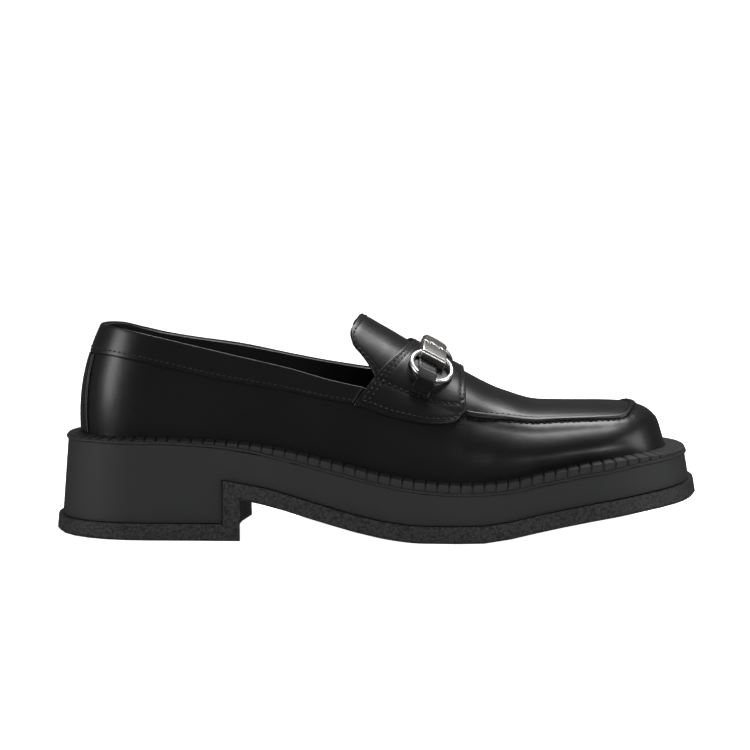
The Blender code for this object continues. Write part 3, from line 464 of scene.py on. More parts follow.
def makeMaterial(name, surface, metallic=0.0, coat=0.0, coatRoughness=0.2, specular=0.5):
    material = bpy.data.materials.new(name)
    material.use_nodes = True
    nodes = material.node_tree.nodes
    shader = nodes["Principled BSDF"]
    shader.inputs["Metallic"].default_value = metallic
    shader.inputs["Coat Weight"].default_value = coat
    shader.inputs["Coat Roughness"].default_value = coatRoughness
    shader.inputs["Specular IOR Level"].default_value = specular
    group = nodes.new("ShaderNodeGroup")
    group.node_tree = surface
    for socket, target in (("Color", "Base Color"), ("Roughness", "Roughness"), ("Normal", "Normal")):
        material.node_tree.links.new(group.outputs[socket], shader.inputs[target])
    return material


# every look: pattern scales per metre, depths in metres, roughness and colour from low to high
calfLook = {
    "poreScale": 1500.0, "grainScale": 700.0, "grainDepth": 0.000035, "pullDepth": 0.0005,
    "roughness": (0.34, 0.40), "dark": (0.0018, 0.0018, 0.0020), "light": (0.0042, 0.0041, 0.0043),
}
liningLook = {
    "poreScale": 1100.0, "grainScale": 520.0, "grainDepth": 0.00006, "pullDepth": 0.0008,
    "roughness": (0.59, 0.65), "dark": (0.008, 0.008, 0.0085), "light": (0.016, 0.0155, 0.016),
}
threadLook = {
    "poreScale": 3000.0, "grainScale": 2200.0, "grainDepth": 0.00005, "pullDepth": 0.0001,
    "roughness": (0.47, 0.53), "dark": (0.004, 0.004, 0.004), "light": (0.012, 0.012, 0.012),
}
wallLook = {
    "gritScale": 1800.0, "pebbleScale": 0.0, "depth": 0.00003, "roughness": (0.61, 0.71),
    "dark": (0.0125, 0.0128, 0.0132), "light": (0.0175, 0.0178, 0.0182),
}
# tread colours: light is painted highlight on the pebble tops, dark is painted shade between them
treadLook = {
    "gritScale": 1500.0, "pebbleScale": 950.0, "depth": 0.00028, "roughness": (0.53, 0.63),
    "dark": (0.006, 0.0061, 0.0063), "light": (0.026, 0.0262, 0.0267),
}
silverLook = {
    "brush": (160.0, 900.0, 900.0), "roughness": (0.25, 0.36), "depth": 0.000006,
    "dark": (0.56, 0.545, 0.525), "light": (0.70, 0.69, 0.67),
}
calf = makeMaterial("polished calf", makeLeatherSurface("calf grain", calfLook),
                    coat=0.18, coatRoughness=0.27, specular=0.40)
lining = makeMaterial("lining leather", makeLeatherSurface("lining grain", liningLook), specular=0.35)
thread = makeMaterial("waxed thread", makeLeatherSurface("thread twist", threadLook), specular=0.40)
wallRubber = makeMaterial("matte wall rubber", makeRubberSurface("wall rubber", wallLook), specular=0.38)
treadRubber = makeMaterial("pebbled tread rubber", makeRubberSurface("pebbled rubber", treadLook),
                           specular=0.4)
silver = makeMaterial("brushed silver", makeMetalSurface("brushed silver", silverLook), metallic=1.0)
print("materials made")


# helpers for pieces laid on the last
def addPiece(name, bm, materials, nodes=()):
    bmesh.ops.recalc_face_normals(bm, faces=bm.faces[:])
    mesh = bpy.data.meshes.new(name)
    bm.to_mesh(mesh)
    bm.free()
    for material in materials:
        mesh.materials.append(material)
    for face in mesh.polygons:
        face.use_smooth = True
    piece = bpy.data.objects.new(name, mesh)
    bpy.context.scene.collection.objects.link(piece)
    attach(piece, "root")
    if nodes:
        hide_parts(*nodes)
    return piece


def addThickness(piece, thickness, edge, liningIndex=0):
    wall = piece.modifiers.new("leather thickness", "SOLIDIFY")
    wall.thickness = thickness
    wall.offset = -1
    wall.use_even_offset = True
    wall.material_offset = liningIndex
    rim = piece.modifiers.new("turned edge", "BEVEL")
    rim.limit_method = "ANGLE"
    rim.angle_limit = math.radians(50)
    rim.width = edge
    rim.segments = 3


def edgeSteps(count, span, rounding):
    # shares along a piece and how far each lies below its face: skirt, rounded edge, even middle
    places = [(0.0, None)]
    edge = abs(rounding) / span
    for k in range(4):
        angle = math.radians(30 * k)
        places.append((edge * (1 - math.cos(angle)), rounding * (1 - math.sin(angle))))
    places += [(edge + (1 - 2 * edge) * k / count, 0.0) for k in range(1, count)]
    places += [(1 - f, drop) for f, drop in reversed(places[:5])]
    return places


def layPiece(place, span, counts, low, high, rounding, relief=None):
    # place turns two shares of the piece into path and turn, low and high are distances off the last
    alongSteps = edgeSteps(counts[0], span[0], rounding)
    acrossSteps = edgeSteps(counts[1], span[1], rounding)
    bm = bmesh.new()
    bmesh.ops.create_grid(bm, x_segments=len(alongSteps) - 1, y_segments=len(acrossSteps) - 1,
                          size=1.0)
    for vert in bm.verts:
        i = round((vert.co.x + 1) / 2 * (len(alongSteps) - 1))
        j = round((vert.co.y + 1) / 2 * (len(acrossSteps) - 1))
        f, dropAlong = alongSteps[i]
        g, dropAcross = acrossSteps[j]
        path, turn = place(f, g)
        if dropAlong is None or dropAcross is None:
            out = low
        else:
            out = (high(f, g) if callable(high) else high) - max(dropAlong, dropAcross, key=abs)
            if relief:
                out += relief(f, g)
        vert.co = shellPoint(path, turn, out)
    return bm


def addSheet(name, place, span, counts, low, high, rounding, nodes, relief=None):
    # leather above and lining below, meeting in a rounded edge
    middle = (low + high) / 2
    bm = layPiece(place, span, counts, middle, high, rounding, relief)
    under = layPiece(place, span, counts, middle, low + 0.00002, -rounding)
    underMesh = bpy.data.meshes.new(name + " underside")
    under.to_mesh(underMesh)
    under.free()
    above = len(bm.faces)
    bm.from_mesh(underMesh)
    bpy.data.meshes.remove(underMesh)
    bm.faces.ensure_lookup_table()
    for face in bm.faces[above:]:
        face.material_index = 1
    bmesh.ops.remove_doubles(bm, verts=bm.verts[:], dist=0.000003)
    return addPiece(name, bm, [calf, lining], nodes)


def sewRow(bm, points, look):
    # one small rounded stitch at every pitch along the points, each with its outward direction
    lengths = [0.0]
    for a, b in zip(points, points[1:]):
        lengths.append(lengths[-1] + (b[0] - a[0]).length)
    count = max(int(lengths[-1] / look["pitch"]), 1)
    k = 0
    for n in range(count):
        at = (n + 0.5) * lengths[-1] / count
        while k < len(points) - 2 and lengths[k + 1] < at:
            k += 1
        f = (at - lengths[k]) / max(lengths[k + 1] - lengths[k], 1e-9)
        spot = points[k][0].lerp(points[k + 1][0], f)
        out = points[k][1].lerp(points[k + 1][1], f).normalized()
        run = (points[k + 1][0] - points[k][0]).normalized()
        side = out.cross(run).normalized()
        run = side.cross(out)
        turnMatrix = Matrix((run, side, out)).transposed().to_4x4()
        size = Matrix.Diagonal((look["length"], look["width"], look["height"], 1))
        bmesh.ops.create_uvsphere(bm, u_segments=6, v_segments=4, radius=0.5,
                                  matrix=Matrix.Translation(spot) @ turnMatrix @ size)


def rowOn(place, start, end, steps):
    # even places on a piece from start to end, both in the piece's own shares
    return [place(*(a + (b - a) * k / steps for a, b in zip(start, end))) for k in range(steps + 1)]


def shellRow(places, out):
    return [(shellPoint(path, turn, out), lastNormal(path, turn)) for path, turn in places]


stitchLook = {"pitch": 0.0027, "length": 0.0021, "width": 0.00075, "height": 0.00070, "sink": 0.0001}

# apron seam: a raised fold between two rows of stitches
seamLook = {
    "width": 0.0030, "height": 0.0009, "rounding": 0.0009, "start": 0.656, "startGap": 0.0006,
    "length": 0.30, "counts": (300, 4), "steps": 90, "rows": (-0.0023, 0.0022), "lift": 0.00005,
    "groove": 0.00018, "grooveReach": 0.0009,
}
seamTable = (
    (0.640, 0.462), (0.715, 0.551), (0.796, 0.598), (0.855, 0.600), (0.880, 0.590), (0.900, 0.615),
    (0.925, 0.703), (0.958, 0.778), (1.000, 0.792),
)
readSeam = curveReader(seamTable, ("along", "turn"))


def seamTurn(path):
    return rightAngle * readSeam("turn", splitSide(path)[0])


def turnRate(path, turn):
    step = probe["rate"]
    return (lastPoint(path, turn + step) - lastPoint(path, turn - step)).length / (2 * step)


def turnAway(path, turn, distance):
    # a turn that lies a distance further up the last
    return turn + distance / max(turnRate(path, turn), 1e-4)


seamStart = pathAt(xOf(seamLook["start"]) + seamLook["startGap"], -1)
seamPlaces = [seamStart + (1 - seamStart) * k / seamLook["steps"] for k in range(seamLook["steps"] + 1)]
seamPlaces += [2 - place for place in reversed(seamPlaces[:-1])]
seamRates = [turnRate(place, seamTurn(place)) for place in seamPlaces]


def placeOnSeam(f, g):
    spot = f * (len(seamPlaces) - 1)
    k = min(int(spot), len(seamPlaces) - 2)
    path = seamPlaces[k] + (seamPlaces[k + 1] - seamPlaces[k]) * (spot - k)
    rate = seamRates[k] + (seamRates[k + 1] - seamRates[k]) * (spot - k)
    return path, seamTurn(path) + (g - 0.5) * seamLook["width"] / rate


bm = layPiece(placeOnSeam, (seamLook["length"], seamLook["width"]), seamLook["counts"], last["gap"],
              last["gap"] + seamLook["height"], seamLook["rounding"])
addPiece("apron_fold", bm, [calf], ("apron_seam",))

bm = bmesh.new()
for offset in seamLook["rows"]:
    row = [(path, turnAway(path, seamTurn(path), offset)) for path in seamPlaces]
    sewRow(bm, shellRow(row, seamLook["lift"]), dict(stitchLook, width=0.0007))
addPiece("apron_stitches", bm, [thread])
print("apron seam done")

# upper: two walls on the last, with soft creases, grooves and puckers beside the seam
upperLook = {
    "columns": 300, "rows": 44, "edge": 0.0007, "sideRun": 0.265, "girth": 0.075,
    "crowding": 0.3, "flatCrest": 0.02,
}
puckerLook = {"pitch": 0.0058, "below": 0.0040, "reach": 0.0028, "depth": 0.00009}
# each crease: share of the path, share of a right angle, run along and up in metres, depth, lean
creases = (
    (0.655, 0.30, 0.0060, 0.016, -0.00028, 0.5), (0.672, 0.27, 0.0060, 0.014, 0.00016, 0.5),
    (0.700, 0.24, 0.0065, 0.013, -0.00020, 0.3), (0.722, 0.20, 0.0070, 0.012, 0.00012, 0.3),
    (0.300, 0.34, 0.0120, 0.010, -0.00040, -0.6), (0.350, 0.28, 0.0140, 0.009, 0.00030, -0.5),
    (0.440, 0.22, 0.0130, 0.010, -0.00035, 0.4), (0.130, 0.30, 0.0080, 0.016, -0.00030, 0.0),
)
grooveCache = {}


def creaseRelief(path, turn):
    step = splitSide(path)[0]
    relief = 0.0
    for place, rise, run, up, depth, lean in creases:
        along = (step - place) * upperLook["sideRun"]
        above = (turn / rightAngle - rise) * upperLook["girth"]
        along -= lean * above
        if abs(along) < 3 * run and abs(above) < 3 * up:
            relief += depth * math.exp(-(along / run) ** 2 - (above / up) ** 2)
    return relief


def seamGroove(path, turn):
    step = splitSide(path)[0]
    if step < seamStart:
        return 0.0
    key = round(step, 5)
    if key not in grooveCache:
        grooveCache[key] = (seamTurn(path), turnRate(path, seamTurn(path)))
    middle, rate = grooveCache[key]
    distance = (turn - middle) * rate
    groove = 0.0
    for offset in seamLook["rows"]:
        groove -= seamLook["groove"] * math.exp(-((distance - offset) / seamLook["grooveReach"]) ** 2)
    wave = math.cos(2 * math.pi * step * upperLook["sideRun"] / puckerLook["pitch"])
    fade = math.exp(-((distance + puckerLook["below"]) / puckerLook["reach"]) ** 2)
    return groove + puckerLook["depth"] * (wave * fade)


columns, rows = upperLook["columns"], upperLook["rows"]
bm = bmesh.new()
bmesh.ops.create_grid(bm, x_segments=columns, y_segments=rows, size=1.0)
for vert in bm.verts:
    i = round((vert.co.x + 1) / 2 * columns)
    j = round((vert.co.y + 1) / 2 * rows)
    path = (2.0 * i / columns) % 2.0
    if j == 0:  # the lowest row goes down to the welt
        level = platformHeight(edgePoint(path).x) + last["gap"]
        vert.co = planPoint(path, 0) + Vector((0, 0, level))
        continue
    end = collarTurn(path)
    r = (j - 1) / (rows - 1)
    turn = end * (1 - (1 - r) ** (1 + upperLook["crowding"] * end / rightAngle))
    relief = creaseRelief(path, turn) + seamGroove(path, turn)
    vert.co = shellPoint(path, turn, relief if turn < rightAngle - upperLook["flatCrest"] else 0.0)
bmesh.ops.remove_doubles(bm, verts=bm.verts[:], dist=0.00002)
upper = addPiece("upper_leather", bm, [calf, lining], ("upper",))
addThickness(upper, last["wall"], upperLook["edge"], 1)
print("upper done")

# saddle across the instep
saddleLook = {
    "gap": 0.00045, "thickness": 0.0015, "spread": 1.15, "rounding": 0.0007, "span": (0.036, 0.120),
    "counts": (44, 150), "groove": 0.00022, "edgeReach": 0.016, "footReach": 0.007, "rowSteps": 80,
}
saddleTable = (
    (0.00, 0.5660, 0.6530), (0.27, 0.5578, 0.6538), (0.50, 0.5434, 0.6550), (0.65, 0.5272, 0.6555),
    (0.80, 0.5050, 0.6560), (0.90, 0.4884, 0.6560), (1.00, 0.4700, 0.6560),
)
saddleFootTable = ((0.00, 0.622), (0.35, 0.572), (0.75, 0.540), (0.90, 0.548), (1.00, 0.590))
readSaddle = curveReader(saddleTable, ("across", "rear", "front"))
readSaddleFoot = curveReader(saddleFootTable, ("along", "height"))
saddleTop = saddleLook["gap"] + saddleLook["thickness"]
# stitch rows, start and end: share from the rear to the front edge, share from foot to foot
edgeRows = (
    ((0.055, 0.02), (0.055, 0.98)), ((0.105, 0.02), (0.105, 0.98)),
    ((0.935, 0.045), (0.935, 0.955)), ((0.975, 0.045), (0.975, 0.955)),
)
footRows = (
    ((0.05, 0.018), (0.955, 0.018)), ((0.05, 0.982), (0.955, 0.982)),
    ((0.09, 0.088), (0.955, 0.088)), ((0.09, 0.912), (0.955, 0.912)),
)


def placeOnSaddle(f, g):
    # f from the rear to the front edge, g from the lateral to the medial foot
    across = abs(2 * g - 1)
    side = -1 if g <= 0.5 else 1
    x = xOf(readSaddle("rear", across) * (1 - f) + readSaddle("front", across) * f)
    path = pathAt(x, side)
    foot = turnAtHeight(path, readSaddleFoot("height", f) * last["instep"])
    return path, rightAngle - (rightAngle - foot) * across ** saddleLook["spread"]


def saddleRelief(f, g):
    # a shallow groove along each row of stitches
    relief = 0.0
    for start, end in edgeRows:
        relief -= saddleLook["groove"] * math.exp(-((f - start[0]) / saddleLook["edgeReach"]) ** 2)
    for start, end in footRows:
        relief -= saddleLook["groove"] * math.exp(-((g - start[1]) / saddleLook["footReach"]) ** 2)
    return relief


bm = layPiece(placeOnSaddle, saddleLook["span"], saddleLook["counts"], saddleLook["gap"], saddleTop,
              saddleLook["rounding"], saddleRelief)
addPiece("saddle_strap", bm, [calf], ("saddle",))
bm = bmesh.new()
for start, end in edgeRows + footRows:
    row = rowOn(placeOnSaddle, start, end, saddleLook["rowSteps"])
    sewRow(bm, shellRow(row, saddleTop - stitchLook["sink"]), stitchLook)
addPiece("saddle_stitches", bm, [thread])
print("saddle done")


def saddleRearX(turn, side):
    # where the saddle's rear edge stands at a turn, found by halving
    low, high = 0.0, 1.0
    for _ in range(24):
        across = (low + high) / 2
        path = pathAt(xOf(readSaddle("rear", across)), side)
        foot = turnAtHeight(path, readSaddleFoot("height", 0.0) * last["instep"])
        if rightAngle - (rightAngle - foot) * across ** saddleLook["spread"] > turn:
            low = across
        else:
            high = across
    return xOf(readSaddle("rear", low))


# collar band, from saddle to saddle round the heel
bandLook = {
    "thickness": 0.0010, "height": 0.0130, "rounding": 0.00055, "end": 0.4700, "endGap": 0.0006,
    "span": (0.300, 0.012), "counts": (260, 10), "groove": 0.00018, "grooveReach": 0.07,
    "row": 0.16, "rowSteps": 240,
}
readBand = curveReader(((0.00, 1.00), (0.20, 1.00), (0.36, 0.82), (0.50, 0.62)), ("along", "drop"))


def bandLowTurn(path, below=0.0):
    along = shareOf(edgePoint(path).x)
    top = readCollar(splitSide(path)[2], along) * last["collar"]
    return turnAtHeight(path, top - readBand("drop", along) * bandLook["height"] - below)


bandEnds = {}
for side in (-1, 1):
    endPath = pathAt(xOf(bandLook["end"]), side)
    bandEnds[side] = [pathAt(saddleRearX(turn, side) - bandLook["endGap"], side)
                      for turn in (bandLowTurn(endPath), collarTurn(endPath))]


def placeOnBand(f, g):
    # f from the lateral end round the heel to the medial end, g from the lower to the upper edge
    lateralEnd = bandEnds[-1][0] + (bandEnds[-1][1] - bandEnds[-1][0]) * g
    medialEnd = bandEnds[1][0] + (bandEnds[1][1] - bandEnds[1][0]) * g
    path = 2.0 + lateralEnd + (medialEnd - 2.0 - lateralEnd) * f
    low = bandLowTurn(path)
    return path, low + (collarTurn(path) - low) * g


def bandRelief(f, g):
    return -bandLook["groove"] * math.exp(-((g - bandLook["row"]) / bandLook["grooveReach"]) ** 2)


bandTop = last["gap"] + bandLook["thickness"]
bm = layPiece(placeOnBand, bandLook["span"], bandLook["counts"], last["gap"], bandTop,
              bandLook["rounding"], bandRelief)
addPiece("collar_binding", bm, [calf], ("collar_band",))
bm = bmesh.new()
row = rowOn(placeOnBand, (0.004, bandLook["row"]), (0.996, bandLook["row"]), bandLook["rowSteps"])
sewRow(bm, shellRow(row, bandTop - stitchLook["sink"]), stitchLook)
addPiece("collar_stitches", bm, [thread])

# strip over the heel's back seam
stripLook = {
    "halfTurn": 0.052, "narrowing": 0.15, "thickness": 0.0010, "rounding": 0.00045, "gap": 0.0006,
    "span": (0.017, 0.035), "counts": (30, 30), "rows": (0.08, 0.19, 0.81, 0.92), "rowSteps": 40,
}


def placeOnStrip(f, g):
    # f from side to side, g from the welt up to the band
    path = 2.0 + stripLook["halfTurn"] * (1 - 2 * f) * (1 - stripLook["narrowing"] * g)
    low = turnAtHeight(path, seatHeight(edgePoint(path).x) + stripLook["gap"])
    return path, low + (bandLowTurn(path, stripLook["gap"]) - low) * g


stripTop = last["gap"] + stripLook["thickness"]
bm = layPiece(placeOnStrip, stripLook["span"], stripLook["counts"], last["gap"], stripTop,
              stripLook["rounding"])
addPiece("heel_strip", bm, [calf], ("back_strip",))
bm = bmesh.new()
for f in stripLook["rows"]:
    row = rowOn(placeOnStrip, (f, 0.02), (f, 0.98), stripLook["rowSteps"])
    sewRow(bm, shellRow(row, stripTop - stitchLook["sink"]), stitchLook)
addPiece("heel_strip_stitches", bm, [thread])
print("collar and heel strip done")

# tongue behind the throat
tongueLook = {
    "thickness": 0.0020, "clearance": 0.0025, "sideRear": math.radians(50), "edge": 0.0007,
    "span": (0.036, 0.060), "counts": (24, 60), "groove": 0.00020, "grooveInset": 0.0024,
    "grooveReach": 0.0011,
}
# the row of stitches turns at these shares from rear to front and from side to side
tongueCorners = ((0.95, 0.045), (0.07, 0.045), (0.07, 0.955), (0.95, 0.955))
tongueTable = ((0.00, 0.4800), (0.45, 0.4720), (0.75, 0.4630), (0.92, 0.4680), (1.00, 0.4800))
readTongue = curveReader(tongueTable, ("across", "rear"))
tongueFront = {}
for side, column in ((-1, "lateral"), (1, "medial")):
    rim = readCollar(column, last["throatStart"]) * last["collar"] + tongueLook["clearance"]
    tongueFront[side] = turnAtHeight(pathAt(xOf(last["throatStart"]), side), rim)


def placeOnTongue(f, g):
    # f from the rear to the front, g from the lateral to the medial side
    across = abs(2 * g - 1)
    side = -1 if g <= 0.5 else 1
    edge = tongueLook["sideRear"] + (tongueFront[side] - tongueLook["sideRear"]) * f
    turn = rightAngle - (rightAngle - edge) * across
    rear = xOf(readTongue("rear", across))
    front = throatX(turn, side) - tongueLook["clearance"]
    return pathAt(rear + (front - rear) * f, side), turn


def tongueRelief(f, g):
    length, width = tongueLook["span"]
    edge = min(f * length, (1 - abs(2 * g - 1)) * width / 2)
    depth = math.exp(-((edge - tongueLook["grooveInset"]) / tongueLook["grooveReach"]) ** 2)
    return -tongueLook["groove"] * depth


addSheet("tongue_leather", placeOnTongue, tongueLook["span"], tongueLook["counts"],
         -tongueLook["thickness"], 0.0, tongueLook["edge"], ("tongue",), tongueRelief)
bm = bmesh.new()
alongSteps, acrossSteps = tongueLook["counts"]
row = rowOn(placeOnTongue, tongueCorners[0], tongueCorners[1], alongSteps)
row += rowOn(placeOnTongue, tongueCorners[1], tongueCorners[2], acrossSteps)[1:-1]
row += rowOn(placeOnTongue, tongueCorners[2], tongueCorners[3], alongSteps)
sewRow(bm, shellRow(row, 0.0), stitchLook)
addPiece("tongue_stitches", bm, [thread])
print("tongue done")

# bit: two rings held by tabs, two bars with a flange and holes, and the link over the crest
bitLook = {
    "along": 0.5955, "ringTurn": math.radians(61.3), "ringRadius": 0.0099, "wire": 0.0012,
    "ringClearance": 0.00045, "clearance": 0.0005, "thickness": 0.0044, "rounding": 0.0006,
    "length": 0.0112, "lowTurn": math.radians(64.5), "highTurn": math.radians(76.8),
    "jointGap": 0.00015,
}
barLook = {
    "counts": (60, 44), "lip": 0.0017, "lipDrop": 0.00040, "groove": 0.00045, "grooveReach": 0.00026,
}
holeLook = {"places": (-0.0021, 0.0021), "radius": 0.00085, "softness": 0.00008, "depth": 0.0018}
linkLook = {"run": 0.0178, "counts": (56, 84), "waist": 0.78, "dome": 0.00030}
tabLook = {
    "width": 0.0082, "thickness": 0.0011, "ramp": 0.0036, "foot": 0.0026, "offset": 0.22,
    "barGap": 0.0006, "lift": 0.0001, "span": (0.0082, 0.016), "counts": (18, 40),
    "rounding": 0.00045, "row": 0.945, "rowSteps": 20,
}
# up each tab: share of its run, how far it rises over the ring's wire, and its lean in widths
tabShares = (0.0, 0.20, 0.40, 0.60, 0.84, 1.0)
tabRises = (0.0, 0.15, 1.0, 1.0, 0.0, 0.0)
tabLeans = (0.04, 0.0, -0.04, -0.12, -0.30, -0.40)
bitBase = saddleTop + bitLook["clearance"]
bitTop = bitBase + bitLook["thickness"]
bitMiddle = xOf(bitLook["along"])


def stepTurn(turn, distance, side=-1):
    # the turn that lies a distance further up the saddle at the bit's middle
    path = pathAt(bitMiddle, side)
    step = probe["rate"]
    parts = 16
    for _ in range(parts):
        above = shellPoint(path, turn + step, saddleTop)
        below = shellPoint(path, turn - step, saddleTop)
        turn += distance / parts / ((above - below).length / (2 * step))
    return turn


def ringFrame(side):
    path = pathAt(bitMiddle, side)
    out = lastNormal(path, bitLook["ringTurn"])
    along = (Vector((1, 0, 0)) - out * out.x).normalized()
    up = out.cross(along)
    if up.z < 0:
        up = -up
    height = saddleTop + bitLook["ringClearance"] + bitLook["wire"]
    return shellPoint(path, bitLook["ringTurn"], height), along, up, out


barHeight = (shellPoint(pathAt(bitMiddle, -1), bitLook["highTurn"], bitTop)
             - shellPoint(pathAt(bitMiddle, -1), bitLook["lowTurn"], bitTop)).length
print("bar height", round(barHeight * 1000, 2), "mm")


def holeRelief(x, up):
    # two eyes in the joint between a bar and the link
    relief = 0.0
    for holeX in holeLook["places"]:
        distance = math.hypot(x - holeX, up)
        edge = (distance - holeLook["radius"]) / holeLook["softness"]
        relief -= holeLook["depth"] / (1 + math.exp(edge))
    return relief


def barRelief(f, g):
    # f along the shoe, g from the lower edge up: the flange lip below a fine groove
    up = g * barHeight
    relief = -barLook["groove"] * math.exp(-((up - barLook["lip"]) / barLook["grooveReach"]) ** 2)
    if up < barLook["lip"]:
        relief -= barLook["lipDrop"]
    return relief + holeRelief((f - 0.5) * bitLook["length"], (1 - g) * barHeight)


for side, sideName in ((-1, "lateral"), (1, "medial")):
    middle, along, up, out = ringFrame(side)
    radius = bitLook["ringRadius"]
    bm = bmesh.new()
    section = Matrix.Translation((radius, 0, 0)) @ Matrix.Rotation(rightAngle, 4, "X")
    bmesh.ops.create_circle(bm, segments=16, radius=bitLook["wire"], matrix=section)
    bmesh.ops.spin(bm, geom=bm.verts[:] + bm.edges[:], cent=(0, 0, 0), axis=(0, 0, 1),
                   angle=2 * math.pi, steps=72, use_merge=True)
    bmesh.ops.remove_doubles(bm, verts=bm.verts[:], dist=0.00001)
    placing = Matrix((along, up, out)).transposed().to_4x4()
    bmesh.ops.transform(bm, matrix=Matrix.Translation(middle) @ placing, verts=bm.verts[:])
    addPiece("ring_" + sideName, bm, [silver], ("bit_ring_" + sideName,))

    highTurn = stepTurn(bitLook["highTurn"], -bitLook["jointGap"])

    def placeOnBar(f, g):
        path = pathAt(bitMiddle + (f - 0.5) * bitLook["length"], side)
        return path, bitLook["lowTurn"] + (highTurn - bitLook["lowTurn"]) * g

    bm = layPiece(placeOnBar, (bitLook["length"], barHeight), barLook["counts"], bitBase, bitTop,
                  bitLook["rounding"], barRelief)
    addPiece("bar_" + sideName, bm, [silver], ("bit_bar_" + sideName,))

    # how high the ring's wire stands over the saddle where the tab crosses it
    hump = 0.0
    for angle in range(-120, -59, 15):
        spin = math.radians(angle)
        wire = middle + (along * math.cos(spin) + up * math.sin(spin)) * radius
        path = pathAt(bitMiddle + radius * math.cos(spin), side)
        turn = stepTurn(bitLook["ringTurn"], radius * math.sin(spin), side)
        over = (wire - shellPoint(path, turn, saddleTop)).dot(lastNormal(path, turn))
        hump = max(hump, over + bitLook["wire"] + last["gap"])
    flat = bitLook["wire"] + 3 * last["gap"]
    arc = radius - math.sqrt(radius ** 2 - (tabLook["width"] / 2) ** 2)
    run = [-radius + arc + flat + tabLook["ramp"], -radius + arc + flat, -radius - flat,
           -radius - flat - tabLook["ramp"], -radius - flat - tabLook["ramp"] - tabLook["foot"]]
    turns = [stepTurn(bitLook["lowTurn"], -tabLook["barGap"], side)]
    turns += [stepTurn(bitLook["ringTurn"], step, side) for step in run]
    readTab = curveReader(tuple(zip(tabShares, turns, tabRises, tabLeans)),
                          ("share", "turn", "rise", "lean"))

    def placeOnTab(f, g):
        centre = bitMiddle + tabLook["width"] * (readTab("lean", g) - tabLook["offset"])
        return pathAt(centre + tabLook["width"] * (f - 0.5), side), readTab("turn", g)

    def tabHeight(f, g):
        rise = readTab("rise", g) * (hump - last["gap"])
        return saddleTop + last["gap"] + rise + tabLook["thickness"]

    bm = layPiece(placeOnTab, tabLook["span"], tabLook["counts"], saddleTop + tabLook["lift"],
                  tabHeight, tabLook["rounding"])
    addPiece("tab_" + sideName, bm, [calf], ("ring_tab_" + sideName,))
    bm = bmesh.new()
    row = rowOn(placeOnTab, (0.12, tabLook["row"]), (0.88, tabLook["row"]), tabLook["rowSteps"])
    sewRow(bm, shellRow(row, saddleTop + last["gap"] + tabLook["thickness"] - stitchLook["sink"]),
           dict(stitchLook, pitch=0.0018, length=0.0013))
    addPiece("tab_stitches_" + sideName, bm, [thread])

linkStart = stepTurn(bitLook["highTurn"], bitLook["jointGap"])


def linkHalf(g):
    return bitLook["length"] / 2 * (1 - (1 - linkLook["waist"]) * math.sin(math.pi * g))


def placeOnLink(f, g):
    # g over the crest from the lateral to the medial joint
    turn = linkStart + (math.pi - 2 * linkStart) * g
    return pathAt(bitMiddle + (2 * f - 1) * linkHalf(g), -1), turn


def linkRelief(f, g):
    eyes = holeRelief((2 * f - 1) * linkHalf(g), min(g, 1 - g) * linkLook["run"])
    return linkLook["dome"] * math.sin(math.pi * f) + eyes


bm = layPiece(placeOnLink, (bitLook["length"], linkLook["run"]), linkLook["counts"], bitBase, bitTop,
              bitLook["rounding"], linkRelief)
addPiece("link_over_crest", bm, [silver], ("bit_link",))
print("bit done")

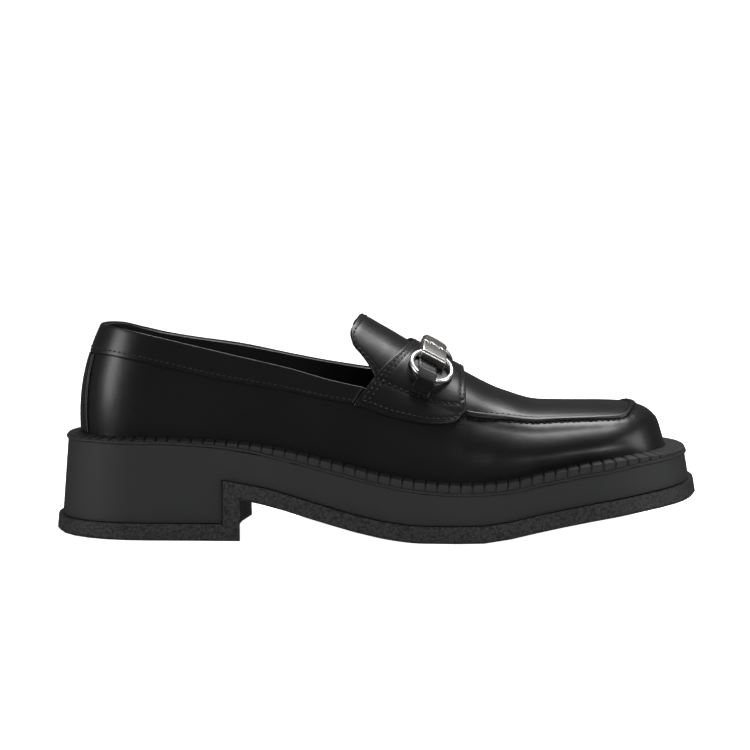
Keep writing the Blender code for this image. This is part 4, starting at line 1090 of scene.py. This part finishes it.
# sock inside the shoe, with a sewn edge and a soft pad at the heel
sockLook = {
    "thickness": 0.0042, "inset": 0.0023, "crown": 0.0006, "ends": 0.003, "wall": 0.0012,
    "edge": 0.0003, "seam": 0.0003, "seamInset": 0.0045, "seamReach": 0.0012,
    "pad": 0.0010, "padEnd": 0.34, "padFall": 90, "padEdge": 0.008,
}
bm = bmesh.new()
bmesh.ops.create_grid(bm, x_segments=90, y_segments=24, size=1.0)
for vert in bm.verts:
    f = (1 - math.cos(math.pi * (vert.co.x + 1) / 2)) / 2 * (1 - 2 * sockLook["ends"]) + sockLook["ends"]
    g = (vert.co.y + 1) / 2
    lateral = planPoint(f, -sockLook["inset"])
    medial = planPoint(2.0 - f, -sockLook["inset"])
    point = lateral.lerp(medial, g)
    edge = min(g, 1 - g) * (medial - lateral).length
    seam = sockLook["seam"] * math.exp(-((edge - sockLook["seamInset"]) / sockLook["seamReach"]) ** 2)
    heelPart = 1 / (1 + math.exp((f - sockLook["padEnd"]) * sockLook["padFall"]))
    pad = sockLook["pad"] * heelPart * min(edge / sockLook["padEdge"], 1)
    level = platformHeight(edgePoint(f).x) + last["gap"] + sockLook["thickness"]
    level += sockLook["crown"] * math.sin(math.pi * g) - seam + pad
    vert.co = point + Vector((0, 0, level))
sock = addPiece("sock_liner", bm, [lining], ("insole",))
addThickness(sock, sockLook["wall"], sockLook["edge"])
print("sock done")


# rubber sole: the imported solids, joined up and smoothed, with the welt's bead
def smoothedNode(node, name, material, limit=30.0):
    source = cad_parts[node]
    bm = bmesh.new()
    bm.from_mesh(source.data)
    bmesh.ops.remove_doubles(bm, verts=bm.verts[:], dist=0.000005)
    bmesh.ops.recalc_face_normals(bm, faces=bm.faces[:])
    sharpAngle = math.radians(limit)
    for edge in bm.edges:
        edge.smooth = not (len(edge.link_faces) == 2 and edge.calc_face_angle(0.0) > sharpAngle)
    return addPiece(name, bm, [material], (node,))


smoothedNode("outsole", "tread_sole", treadRubber)
smoothedNode("midsole", "side_wall", wallRubber)
smoothedNode("welt", "notched_welt", wallRubber, 20.0)

beadLook = {"radius": 0.00075, "rise": 0.0009}
bm = bmesh.new()
bmesh.ops.create_grid(bm, x_segments=420, y_segments=8, size=1.0)
for vert in bm.verts:
    path = (vert.co.x + 1) % 2.0
    spin = math.pi * (vert.co.y + 1)
    x = edgePoint(path).x
    middle = planPoint(path, readSection("welt", shareOf(x)) * last["weltWidth"])
    middle += Vector((0, 0, platformHeight(x) + beadLook["rise"]))
    spoke = edgeNormal(path) * math.cos(spin) + Vector((0, 0, math.sin(spin)))
    vert.co = middle + spoke * beadLook["radius"]
bmesh.ops.remove_doubles(bm, verts=bm.verts[:], dist=0.00001)
addPiece("welt_bead", bm, [wallRubber])
print("sole done")

print("all pieces done")
